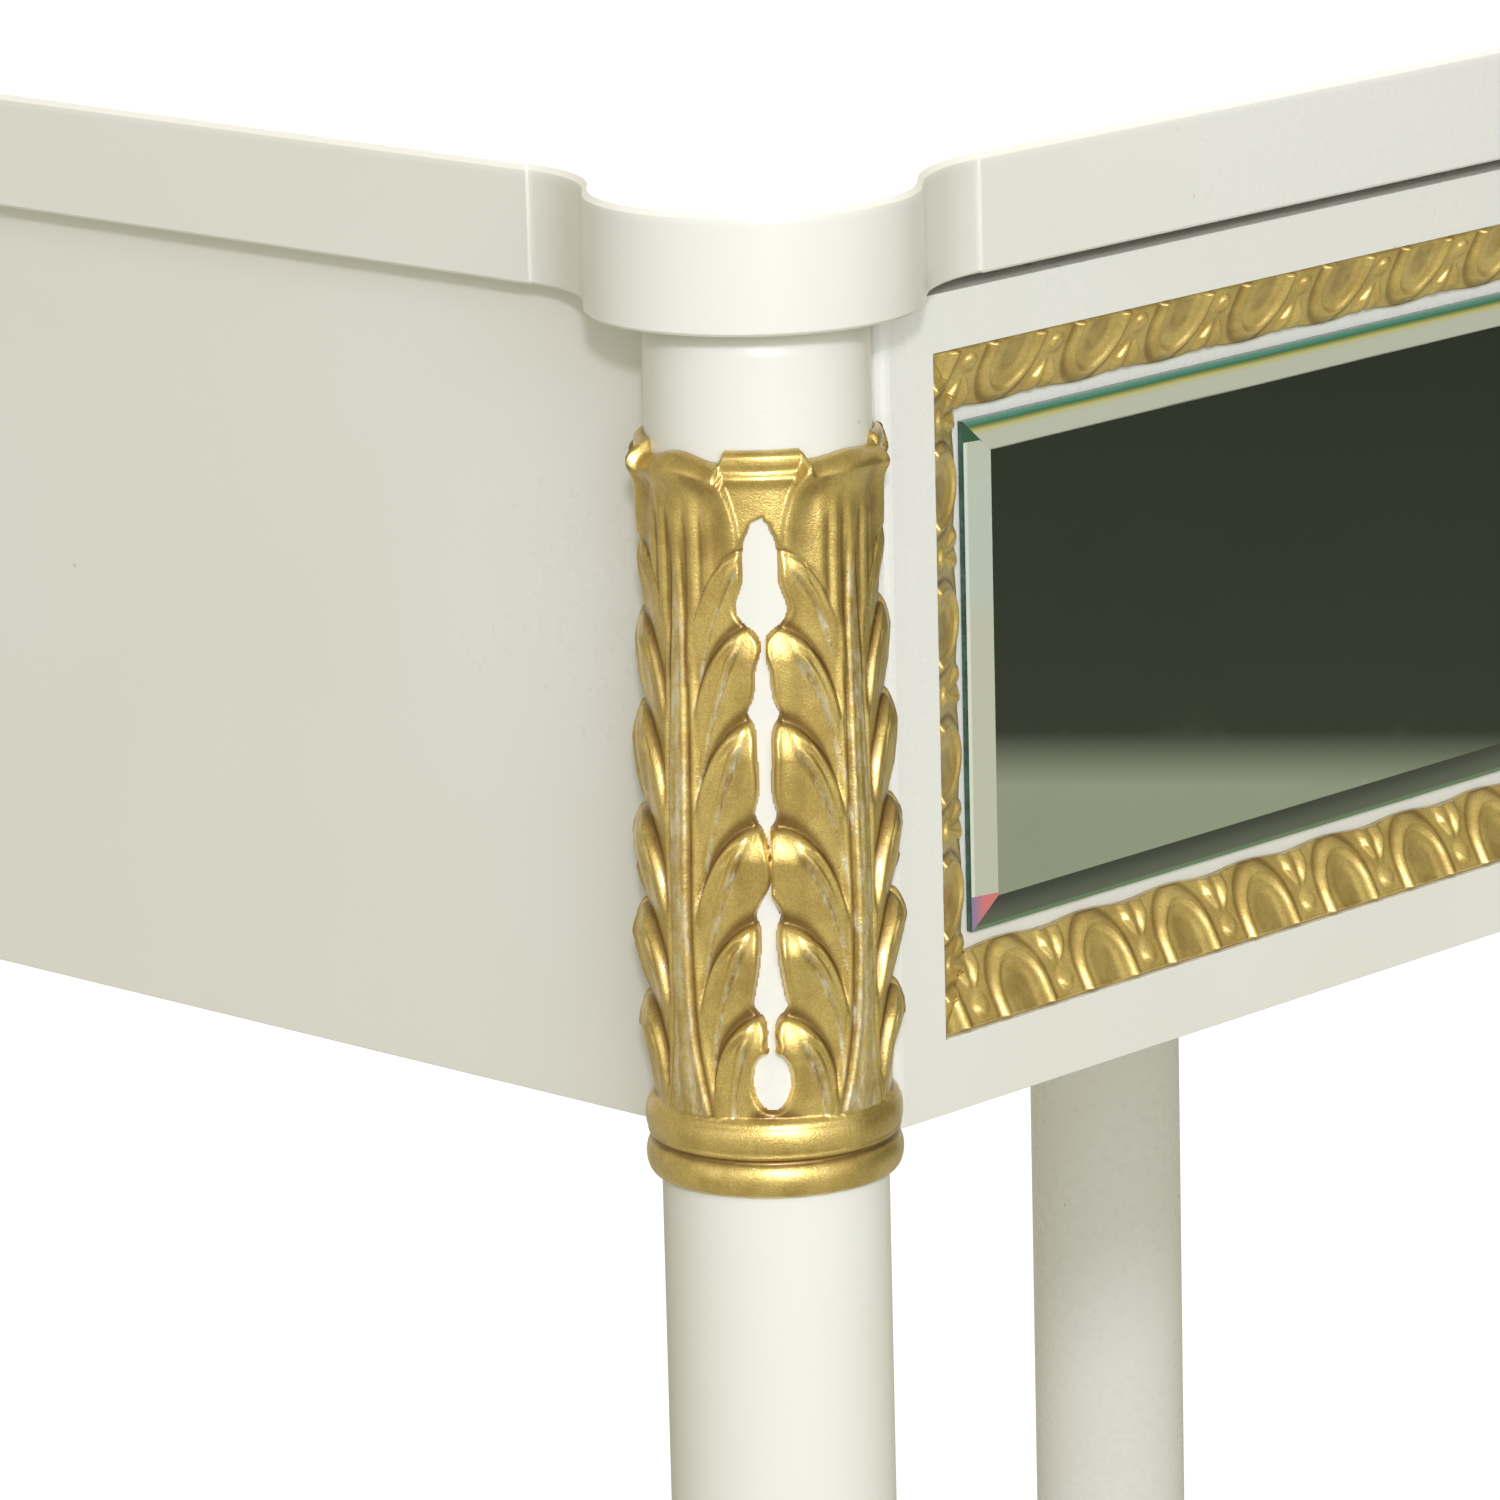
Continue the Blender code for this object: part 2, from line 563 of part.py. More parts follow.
def front_screw_places():
    middle = (DRAWER_BOTTOM + BOTTOM_RISE + BOTTOM_THICKNESS + DRAWER_TOP) / 2
    places = []
    for side, label in ((-1, "left"), (1, "right")):
        for up, level in ((-1, "low"), (1, "high")):
            x, z = side * FRONT_SCREW_SPREAD / 2, middle + up * FRONT_SCREW_PITCH / 2
            places.append((f"{label}_{level}", x, z))
    return places


def make_moulding(mat, slider):
    """Four mitred lengths around the pocket, each sloping from the face down to the painted slip."""
    half_x = FRAME_HALF_X - FIT_GAP
    half_z = (FRAME_HIGH - FRAME_LOW) / 2 - FIT_GAP
    middle_z = (FRAME_HIGH + FRAME_LOW) / 2
    back = POCKET_FLOOR_Y - FIT_GAP
    lip = back - MOULDING_LIP
    # Section points: distance in from the outer edge, and place from front to back.
    section = [(0, FRONT_FACE_Y), (MOULDING_WIDTH, lip), (MOULDING_WIDTH, back), (0, back)]
    for turn, label in enumerate(("bottom", "right", "top", "left")):
        half_run, half_out = (half_z, half_x) if turn % 2 else (half_x, half_z)
        rings = []
        for end in (-1, 1):
            along = [end * (half_run - inward - FIT_GAP) for inward, _ in section]
            rings.append([(x, y, inward - half_out) for x, (inward, y) in zip(along, section)])
        bm = bridge_rings(rings)
        spin = Matrix.Rotation(-math.radians(90) * turn, 3, "Y")
        bmesh.ops.rotate(bm, verts=bm.verts, cent=(0, 0, 0), matrix=spin)
        place("moulding_" + label, bm, mat, (0, 0, middle_z), slider)


def make_mirror(mat, slider):
    """A plate with a flat bevel round its face and a square edge behind the bevel."""
    border = MOULDING_WIDTH + SLIP_WIDTH
    half_x = FRAME_HALF_X - border
    half_z = (FRAME_HIGH - FRAME_LOW) / 2 - border
    centre = (0, POCKET_FLOOR_Y - FIT_GAP, (FRAME_LOW + FRAME_HIGH) / 2)

    def ring(shrink, forward):
        x, z = half_x - shrink, half_z - shrink
        return [(-x, -forward, -z), (x, -forward, -z), (x, -forward, z), (-x, -forward, z)]
    rings = [ring(0, 0), ring(0, GLASS_EDGE), ring(BEVEL_WIDTH, GLASS_THICKNESS)]
    place("mirror_glass", bridge_rings(rings), mat, centre, slider, smooth_angle=5)


def make_drawer_box(timber, steel, slider):
    groove_low = DRAWER_BOTTOM + BOTTOM_RISE - FIT_GAP
    groove_high = groove_low + BOTTOM_THICKNESS + 2 * FIT_GAP
    for side, label in ((-1, "left"), (1, "right")):
        outer, inner = DRAWER_HALF_X, DRAWER_INNER_X
        outline = [
            (outer, DRAWER_BOTTOM), (outer, DRAWER_TOP), (inner, DRAWER_TOP), (inner, groove_high),
            (inner + GROOVE_DEPTH, groove_high), (inner + GROOVE_DEPTH, groove_low),
            (inner, groove_low), (inner, DRAWER_BOTTOM),
        ]
        local = [(side * (x - outer), z - DRAWER_BOTTOM) for x, z in outline]
        length = DRAWER_BACK_Y - DRAWER_FRONT_Y
        origin = (side * outer, DRAWER_FRONT_Y, DRAWER_BOTTOM)
        place("drawer_side_" + label, prism(local, "Y", 0, length), timber, origin, slider)
    reach = DRAWER_INNER_X - FIT_GAP
    back_face = DRAWER_FRONT_Y + DRAWER_SIDE
    outline = [
        (DRAWER_FRONT_Y, DRAWER_BOTTOM), (back_face, DRAWER_BOTTOM), (back_face, groove_low),
        (back_face - GROOVE_DEPTH, groove_low), (back_face - GROOVE_DEPTH, groove_high),
        (back_face, groove_high), (back_face, DRAWER_TOP), (DRAWER_FRONT_Y, DRAWER_TOP),
    ]
    local = [(y - DRAWER_FRONT_Y, z - DRAWER_BOTTOM) for y, z in outline]
    origin = Vector((0, DRAWER_FRONT_Y, DRAWER_BOTTOM))
    sub_front = place("drawer_sub_front", prism(local, "X", -reach, reach), timber, origin, slider)
    bore = SHANK_RADIUS + FIT_GAP
    for label, x, z in front_screw_places():
        hole = along_y(turned([(bore, -2 * DRAWER_SIDE), (bore, DRAWER_SIDE)], SCREW_SEGMENTS))
        cut(sub_front, moved(hole, Vector((x, DRAWER_FRONT_Y, z)) - origin), "sub_front_hole_" + label)
        head_seat = (x, back_face + FIT_GAP, z)
        length = head_seat[1] - FRONT_BACK_Y + FRONT_BITE - 2 * FIT_GAP
        screw("front_screw_" + label, head_seat, length, steel, slider, (math.radians(90), 0, 0))
    board(
        "drawer_back", (-reach, DRAWER_BACK_Y - DRAWER_SIDE, groove_high),
        (reach, DRAWER_BACK_Y, DRAWER_TOP), timber, slider)
    floor_reach = DRAWER_INNER_X + GROOVE_DEPTH - FIT_GAP
    board(
        "drawer_bottom", (-floor_reach, back_face - GROOVE_DEPTH + FIT_GAP, groove_low + FIT_GAP),
        (floor_reach, DRAWER_BACK_Y, groove_high - FIT_GAP), timber, slider)


def build():
    clear_scene()
    paint = material("cream_paint", (0.83, 0.82, 0.75), 0.35)
    gilt = material("gilt", (0.66, 0.48, 0.16), 0.35, 1.0)
    mirror = material("mirror", (0.80, 0.83, 0.80), 0.03, 1.0)
    timber = material("birch", (0.76, 0.60, 0.40), 0.55)
    steel = material("steel", (0.55, 0.55, 0.55), 0.35, 1.0)
    nylon = material("nylon", (0.20, 0.17, 0.14), 0.60)

    make_slab(paint)
    for side, end in CORNERS:
        make_leg(side, end, paint)
        make_collar(side, end, gilt)
        make_glide(side, end, nylon)
    make_carcass(paint, timber, steel)

    slider = bpy.data.objects.new("drawer_slide", None)
    slider.location = (0, DRAWER_FRONT_Y, DRAWER_BOTTOM)
    bpy.context.scene.collection.objects.link(slider)
    make_drawer_front(paint, slider)
    make_moulding(gilt, slider)
    make_mirror(mirror, slider)
    make_drawer_box(timber, steel, slider)


build()
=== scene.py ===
import math

import bpy
import numpy as np
from mathutils import Matrix, Vector


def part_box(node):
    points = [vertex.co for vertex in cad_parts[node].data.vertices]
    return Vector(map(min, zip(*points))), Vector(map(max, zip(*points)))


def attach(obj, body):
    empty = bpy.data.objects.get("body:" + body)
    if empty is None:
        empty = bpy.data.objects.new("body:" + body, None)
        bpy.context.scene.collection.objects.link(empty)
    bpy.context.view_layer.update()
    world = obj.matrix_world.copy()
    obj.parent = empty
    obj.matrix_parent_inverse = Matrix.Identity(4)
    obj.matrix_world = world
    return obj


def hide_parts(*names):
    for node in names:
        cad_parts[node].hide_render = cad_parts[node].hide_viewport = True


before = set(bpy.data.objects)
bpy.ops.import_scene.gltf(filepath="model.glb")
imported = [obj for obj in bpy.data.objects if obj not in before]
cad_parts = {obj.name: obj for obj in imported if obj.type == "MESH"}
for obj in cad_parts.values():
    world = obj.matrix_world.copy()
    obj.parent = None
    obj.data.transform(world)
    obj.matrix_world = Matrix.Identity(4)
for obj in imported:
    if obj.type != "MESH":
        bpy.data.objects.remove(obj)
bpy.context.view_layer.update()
mm = 0.001

legAxis = {}   # the middle of each leg's box
for side in ("left", "right"):
    for end in ("front", "back"):
        low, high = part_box(f"leg_{end}_{side}")
        legAxis[end, side] = (low + high) / 2
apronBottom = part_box("side_panel_left")[0].z
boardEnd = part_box("drawer_front")[0].x
print("frame loaded:", len(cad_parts), "pieces")


view = {
    "lens": 192.0,
    "sensor": 36.0,
    "clip": (0.05, 60),
    "turn": 0.810,        # radians, from looking along +Y towards +X
    "dip": 0.238,
    "roll": -0.025,
    "fromLeg": (-1.1908, -1.1290, 0.4859),   # from the front left leg's axis at the apron's bottom
}


def makeCamera():
    turn, dip, roll = view["turn"], view["dip"], view["roll"]
    ahead = Vector((math.sin(turn) * math.cos(dip), math.cos(turn) * math.cos(dip), -math.sin(dip)))
    right = Vector((math.cos(turn), -math.sin(turn), 0))
    up = right.cross(ahead)
    rolledRight = math.cos(roll) * right + math.sin(roll) * up
    rolledUp = math.cos(roll) * up - math.sin(roll) * right
    lensData = bpy.data.cameras.new("camera")
    lensData.lens, lensData.sensor_width = view["lens"], view["sensor"]
    lensData.clip_start, lensData.clip_end = view["clip"]
    camera = bpy.data.objects.new("camera", lensData)
    spin = Matrix((rolledRight, rolledUp, -ahead)).transposed().to_4x4()
    leg = legAxis["front", "left"]
    corner = Vector((leg.x, leg.y, apronBottom))
    camera.matrix_world = Matrix.Translation(corner + Vector(view["fromLeg"])) @ spin
    bpy.context.scene.collection.objects.link(camera)
    bpy.context.scene.camera = camera
    return ahead


lookAhead = makeCamera()
print("camera placed")


class Wire:
    # a node socket, or a bare node tree, that Python sums work on
    def __init__(self, tree, socket=None):
        self.tree, self.socket = tree, socket

    def node(self, kind, settings=None, inputs=None, output=0):
        made = self.tree.nodes.new("ShaderNode" + kind)
        for name, value in (settings or {}).items():
            if name == "stops":
                ramp = made.color_ramp.elements
                while len(ramp) < len(value):
                    ramp.new(0.5)
                for stop, (place, colour) in zip(ramp, value):
                    stop.position, stop.color = place, (*colour, 1)
            else:
                setattr(made, name, value)
        for name, value in (inputs or {}).items():
            if isinstance(value, Wire):
                self.tree.links.new(value.socket, made.inputs[name])
            else:
                made.inputs[name].default_value = value
        return Wire(self.tree, made.outputs[output])

    def sum(self, operation, first, second):
        return self.node("Math", {"operation": operation}, {0: first, 1: second})

    def __add__(self, other):
        return self.sum("ADD", self, other)

    def __sub__(self, other):
        return self.sum("SUBTRACT", self, other)

    def __rsub__(self, other):
        return self.sum("SUBTRACT", other, self)

    def __mul__(self, other):
        return self.sum("MULTIPLY", self, other)

    __radd__ = __add__
    __rmul__ = __mul__

    def between(self, low, high):
        # 0 below low, 1 above high, smooth in between
        settings = {"interpolation_type": "SMOOTHSTEP"}
        return self.node("MapRange", settings, {"Value": self, "From Min": low, "From Max": high})

    def blend(self, first, second):
        # this value picks between two colours
        return self.node("Mix", {"data_type": "RGBA"}, {0: self, 6: first, 7: second}, output=2)


def linear(red, green, blue):
    # a colour as a screen shows it, 0 to 255, as a shader wants it
    return tuple(((c / 255 + 0.055) / 1.055) ** 2.4 for c in (red, green, blue)) + (1,)


def newMaterial(name, settings):
    # a Principled material and the start of its node tree; settings go on the shader's own sockets
    made = bpy.data.materials.new(name)
    made.use_nodes = True
    shader = made.node_tree.nodes["Principled BSDF"]
    for socket, value in settings.items():
        shader.inputs[socket].default_value = value
    return made, Wire(made.node_tree), shader


def plug(wire, shader, socket):
    wire.tree.links.new(wire.socket, shader.inputs[socket])


def noise(start, scale, detail=3.0, roughness=0.5, stretch=None, distortion=0.0):
    # three-dimensional noise in the piece's own metres, scale in spots per metre
    place = start.node("TexCoord", output=3)
    if stretch:
        place = start.node("VectorMath", {"operation": "MULTIPLY"}, {0: place, 1: stretch})
    inputs = {"Vector": place, "Scale": scale, "Detail": detail}
    inputs.update({"Roughness": roughness, "Distortion": distortion})
    return start.node("TexNoise", None, inputs)


def attribute(start, name):
    return start.node("Attribute", {"attribute_name": name}, output=2)


def bumped(start, height, distance, strength=1.0, under=None):
    inputs = {"Height": height, "Distance": distance, "Strength": strength}
    if under:
        inputs["Normal"] = under
    return start.node("Bump", None, inputs)


paint = {
    "colour": linear(232, 232, 227),
    "shade": linear(229, 228, 219),   # slightly yellower, in slow patches
    "speck": linear(150, 140, 118),
    "speckScale": 85.0,               # cells per metre
    "roughness": 0.30,
    "patches": 5.0,                   # spots per metre, and so are the next two
    "peel": 260.0,                    # orange peel of the lacquer
    "brushing": 60.0,                 # drawn out along the height
    "relief": 0.04 * mm,
}


def creamPaint(name="creamPaint", finer=0.0):
    made, start, shader = newMaterial(name, {"Coat Weight": 0.25, "Coat Roughness": 0.12, "IOR": 1.46})
    slow = noise(start, paint["patches"] + finer, 3.0).between(0.35, 0.68)
    colour = slow.blend(paint["colour"], paint["shade"])
    place = start.node("TexCoord", output=3)
    specks = start.node("TexVoronoi", None, {"Vector": place, "Scale": paint["speckScale"]})
    speck = (1 - specks.between(0.030, 0.055)) * noise(start, 18.0, 1.0).between(0.60, 0.72)
    plug((speck * 0.55).blend(colour, paint["speck"]), shader, "Base Color")
    peel = noise(start, paint["peel"], 2.0, 0.45)
    drag = noise(start, paint["brushing"], 4.0, 0.6, stretch=(1.0, 1.0, 0.12))
    plug(paint["roughness"] + 0.06 * (peel - 0.5) + 0.06 * (slow - 0.5), shader, "Roughness")
    under = bumped(start, drag, paint["relief"], 0.20)
    plug(bumped(start, peel, paint["relief"], 0.20, under), shader, "Normal")
    return made


gilding = {
    "gold": linear(233, 205, 121),
    "dull": linear(203, 172, 94),     # slow patches
    "deep": linear(128, 96, 38),      # painted shade in the hollows, and the dark flecks of the grain
    "rubbed": linear(222, 216, 196),  # where wear shows the ground
    "grain": 2400.0,                  # metal flakes in spots per metre, and so are the next two
    "patches": 120.0,
    "streaks": 420.0,                 # of rubbing, drawn out along the height
    "grainRelief": 0.10 * mm,
    "patchRelief": 0.30 * mm,
    "collar": (0.80, 0.35, 0.92),     # how metallic, how rough, and how dark the painted shade in the hollows is
    "moulding": (0.55, 0.36, 0.76),
}


def giltPaint(name, metal, roughness, contrast):
    # the painted shade in the hollows and the worn places come with the carving's mesh; the coat is the
    # varnish over the leaf
    varnish = {"Coat Weight": 0.6, "Coat Roughness": 0.20, "Coat IOR": 1.55}
    made, start, shader = newMaterial(name, varnish)
    hollow, worn = attribute(start, "hollow"), attribute(start, "worn")
    grain = noise(start, gilding["grain"], 2.0, 0.6)
    patch = noise(start, gilding["patches"], 4.0, 0.6)
    streak = noise(start, gilding["streaks"], 5.0, 0.75, stretch=(1.0, 1.0, 0.35))
    # dark is painted shade: the gold darkens where the carving's hollows, creases and gaps lie
    dark = (hollow * (0.60 + 0.75 * patch)).between(0.08, 0.90)
    rub = (worn * streak * 2.0).between(0.62, 1.12) * 0.80
    gold = (0.75 * patch.between(0.38, 0.62)).blend(gilding["gold"], gilding["dull"])
    gold = (contrast * dark).blend(gold, gilding["deep"])
    gold = (0.30 * (1 - grain.between(0.30, 0.70))).blend(gold, gilding["deep"])
    plug(rub.blend(gold, gilding["rubbed"]), shader, "Base Color")
    plug(metal - 0.40 * rub, shader, "Metallic")
    plug(roughness + 0.12 * (patch - 0.5) + 0.10 * rub + 0.08 * dark, shader, "Roughness")
    lump = bumped(start, patch, gilding["patchRelief"], 0.35)
    plug(bumped(start, grain, gilding["grainRelief"], 0.85, lump), shader, "Normal")
    return made


plate = {
    "silver": linear(214, 220, 210),
    "haze": linear(211, 217, 207),
    "bevel": linear(196, 199, 182),
    "rimLight": linear(226, 228, 214),
    "sky": linear(176, 214, 222),     # painted sky reflection, in faint patches on the side bevels
    "bevelShade": linear(98, 104, 90),      # painted shade on the lower bevel, and on the top bevel's inner line
    "bevelDeepShade": linear(54, 59, 49),      # deeper painted shade along its inner line
    "moss": linear(112, 142, 108),    # and its outer one
    "pale": linear(196, 194, 140),
    "olive": linear(158, 152, 62),
    "teal": linear(66, 120, 98),
    "mist": linear(112, 162, 142),
    "ground": linear(38, 88, 66),     # the ground edge, with darker clouds
    "cloud": linear(22, 60, 44),
    "pink": linear(214, 124, 124),    # the painted glint where two bevels meet
    "violet": linear(150, 128, 168),  # its outer end
    "pine": linear(44, 88, 62),       # and the painted dark green glint above it
}


def silvering():
    made, start, shader = newMaterial("silvering", {"Metallic": 1.0})
    haze = noise(start, 40.0, 4.0, 0.55).between(0.45, 0.75)
    plug(haze.blend(plate["silver"], plate["haze"]), shader, "Base Color")
    plug(0.012 + 0.03 * haze, shader, "Roughness")
    return made


def bevelGlass():
    # rim runs from 0 at the inner line of the bevel to 1 at the edge of the plate
    # lit is 1 on the top bevel, 0.5 on the side ones and 0 below: painted reflection, lighter on top, and
    # painted shade below
    # glint is 1 at a painted pink glint and 0.5 at a painted dark green one
    made, start, shader = newMaterial("bevelGlass", {"Coat Weight": 0.5, "Coat Roughness": 0.04})
    rim, lit, glint = attribute(start, "rim"), attribute(start, "lit"), attribute(start, "glint")
    wave = 0.06 * (noise(start, 30.0, 2.0) - 0.5)
    # the top bevel's bands are painted reflection: a thin painted shade at the inner line, then pale, olive
    # and green bands towards the edge
    bands = [(0.0, "bevelShade"), (0.05, "bevel"), (0.50, "bevel"), (0.66, "pale")]
    bands += [(0.74, "olive"), (0.81, "teal"), (1.0, "mist")]
    stops = [(at, plate[name][:3]) for at, name in bands]
    top = start.node("ValToRGB", {"stops": stops}, {"Fac": rim + wave})
    # painted highlight along the side bevels' outer edge, and painted sky reflection in patches
    side = rim.between(0.84, 0.90).blend(plate["bevel"], plate["rimLight"])
    side = (0.22 * noise(start, 16.0, 1.0).between(0.54, 0.66)).blend(side, plate["sky"])
    # painted shade on the lower bevel, deepest at its inner line, with a green line at its edge
    shade = rim.between(0.0, 0.8).blend(plate["bevelDeepShade"], plate["bevelShade"])
    below = rim.between(0.82, 0.90).blend(shade, plate["moss"])
    colour = lit.between(0.6, 0.9).blend(lit.between(0.1, 0.4).blend(below, side), top)
    # painted glints at the corners of the side bevels
    colour = glint.between(0.1, 0.4).blend(colour, plate["pine"])
    pink = rim.between(0.45, 1.0).blend(plate["pink"], plate["violet"])
    colour = glint.between(0.6, 0.9).blend(colour, pink)
    plug(colour, shader, "Base Color")
    plug(0.40 - 0.30 * lit, shader, "Metallic")
    plug(0.06 + 0.08 * rim.between(0.5, 1.0), shader, "Roughness")
    return made


def edgeGlass():
    made, start, shader = newMaterial("edgeGlass", {"IOR": 1.52, "Coat Weight": 0.6})
    cloud = noise(start, 300.0, 3.0)
    plug(cloud.between(0.3, 0.7).blend(plate["cloud"], plate["ground"]), shader, "Base Color")
    plug(0.18 + 0.2 * cloud, shader, "Roughness")
    return made


innards = {
    "birchPale": linear(226, 200, 160),
    "birchRing": linear(196, 160, 112),
    "birchPore": linear(150, 112, 70),
    "ringScale": 26.0,               # across the grain, in spots per metre
    "poreScale": 420.0,
    "poreRelief": 0.12 * mm,
    "steel": linear(176, 176, 172),
    "scratchScale": 1500.0,
    "scratchRelief": 0.03 * mm,
    "nylon": linear(74, 66, 58),
    "nylonScuff": linear(112, 104, 94),
    "scuffScale": 200.0,
    "nylonGrain": 900.0,
    "nylonRelief": 0.06 * mm,
}


def birchWood(name, stretch):
    # straight grain along the direction where stretch is small
    made, start, shader = newMaterial(name, {"Specular IOR Level": 0.35})
    rings = noise(start, innards["ringScale"], 5.0, stretch=stretch, distortion=0.6)
    pores = noise(start, innards["poreScale"], 2.0, stretch=stretch)
    colour = rings.between(0.32, 0.70).blend(innards["birchPale"], innards["birchRing"])
    colour = (0.35 * pores.between(0.55, 0.75)).blend(colour, innards["birchPore"])
    plug(colour, shader, "Base Color")
    plug(0.52 + 0.16 * pores, shader, "Roughness")
    plug(bumped(start, pores, innards["poreRelief"], 0.5), shader, "Normal")
    return made


def turnedSteel():
    made, start, shader = newMaterial("turnedSteel", {"Metallic": 1.0, "Base Color": innards["steel"]})
    scratch = noise(start, innards["scratchScale"], 3.0)
    plug(0.24 + 0.22 * scratch, shader, "Roughness")
    plug(bumped(start, scratch, innards["scratchRelief"], 0.5), shader, "Normal")
    return made


def darkNylon():
    made, start, shader = newMaterial("darkNylon", {"IOR": 1.53})
    scuff = noise(start, innards["scuffScale"], 4.0, 0.6)
    plug(scuff.between(0.5, 0.8).blend(innards["nylon"], innards["nylonScuff"]), shader, "Base Color")
    plug(0.42 + 0.25 * scuff, shader, "Roughness")
    grain = noise(start, innards["nylonGrain"])
    plug(bumped(start, grain, innards["nylonRelief"], 0.5), shader, "Normal")
    return made


def addMesh(name, points, faces, *materials):
    mesh = bpy.data.meshes.new(name)
    mesh.from_pydata(points, [], faces)
    for material in materials:
        mesh.materials.append(material)
    item = bpy.data.objects.new(name, mesh)
    bpy.context.scene.collection.objects.link(item)
    return item


def smoothStep(value, low, high):
    share = np.clip((value - low) / (high - low), 0, 1)
    return share * share * (3 - 2 * share)


def bump(value, middle, width):
    return np.exp(-((value - middle) / width) ** 2)


def throughPoints(value, points):
    # a smooth curve through (place, level) points
    x, y = np.array(points, float).T
    slope = np.gradient(y, x)
    k = np.clip(np.searchsorted(x, value) - 1, 0, len(x) - 2)
    step = x[k + 1] - x[k]
    t = np.clip((value - x[k]) / step, 0, 1)
    start = (1 + 2 * t) * (1 - t) ** 2 * y[k] + t * (1 - t) ** 2 * step * slope[k]
    return start + t * t * (3 - 2 * t) * y[k + 1] - t * t * (1 - t) * step * slope[k + 1]


def carvedSolid(name, face, back, masks, material):
    # face is rows by columns of points; back has two rows of points, behind the first and the last row
    rows, columns = face.shape[:2]
    points = np.concatenate([face.reshape(-1, 3), back.reshape(-1, 3)])
    spot = np.arange(rows * columns).reshape(rows, columns)
    behind = rows * columns + np.arange(2 * columns).reshape(2, columns)
    ring = np.concatenate([behind[:1], spot, behind[1:], behind[:1]])   # once round each column
    low, high = ring[:-1], ring[1:]
    quads = np.stack([low[:, :-1], low[:, 1:], high[:, 1:], high[:, :-1]], axis=-1).reshape(-1, 4)
    ends = [ring[:-1, 0][::-1].tolist(), ring[:-1, -1].tolist()]
    piece = addMesh(name, points.tolist(), quads.tolist() + ends, material)
    for label, values in masks.items():
        layer = piece.data.attributes.new(label, "FLOAT", "POINT")
        values = np.append(values.ravel(), np.zeros(2 * columns))
        layer.data.foreach_set("value", values.astype(np.float32))
    piece.data.shade_smooth()
    piece.data.update()
    return piece


collar = {
    "neck": 24.0 * mm,           # the leg's own surface
    "sunk": 0.9 * mm,            # the carving's ground lies this far inside the leg
    "columns": 296,
    "rows": 322,
    "bottom": -3.4 * mm,         # heights are above the bottom of the apron
    "ringTop": 13.8 * mm,
    "ringSplit": 4.6 * mm,
    "ringReach": 3.5 * mm,
    "top": 157.2 * mm,
    "gapShift": -1.0 * mm,       # the gaps between leaves stand a little to one side
    "sweep": 38.0 * mm,          # sets how steeply a leaflet runs down from its tip to the midrib
    "tuck": 0.36,                # where a leaflet goes under the next, as a share of its height
    # height, half width and half height of the eye at the leaf's foot
    "hole": (22.0 * mm, 4.3 * mm, 6.4 * mm),
    "edge": 1.1 * mm,            # the rounding of the leaf's outline
    "arcScale": 1.09,            # distances round the leg are taken this much outside its surface
    "smoothTurns": 3,
    "firstAngle": 90.3,          # degrees, at the side panel's face
    "lastAngle": {"front": 336.0, "back": 359.5},   # at the drawer's end, or at the back panel
    "rimSteps": 12,
    "boreDepth": 1.6 * mm,       # how far the collar reaches into the leg
    "drawerGap": 0.8 * mm,
}
leafletTips = [13.8 * mm, 37.3 * mm, 57.3 * mm, 78.0 * mm, 100.8 * mm, 120.7 * mm, 137.5 * mm]
# how far the leaves stand out of the leg at each height, both in mm
leafReach = [
    (13, 2.9), (30, 4.0), (46, 4.6), (80, 4.2), (100, 3.3), (119, 2.4), (130, 2.2), (140, 2.5), (147, 3.1),
    (151, 4.2), (154, 4.7), (160, 4.8),
]
# half the width of the midrib at each height, both in mm
ribWidths = [(12, 6.4), (20, 4.7), (30, 3.1), (45, 2.4), (80, 2.5), (118, 1.9), (140, 1.2), (160, 0.8)]
# half the width of the gap between two leaves at each height, both in mm; below 0 the leaves meet
gapWidths = [
    (10, -3), (27, -2), (29, 0.5), (33, 0.8), (36, 1.6), (38.2, 3.7), (41, 3.3), (46, 2.4), (52, 1.8),
    (56, 2.0), (58, 2.7), (60.5, 1.7), (64.5, -0.4), (72, -0.6), (77, 0.9), (78.8, 2.1), (84, 1.5),
    (92, 1.6), (99, 2.2), (101.5, 3.5), (104, 2.4), (110, 1.6), (118.6, 1.4), (121.2, 4.6), (130, 4.0),
    (136, 3.8), (138.7, 3.2), (140.4, 2.3), (142.2, 1.4), (143.2, -0.6), (145, -3), (160, -6),
]


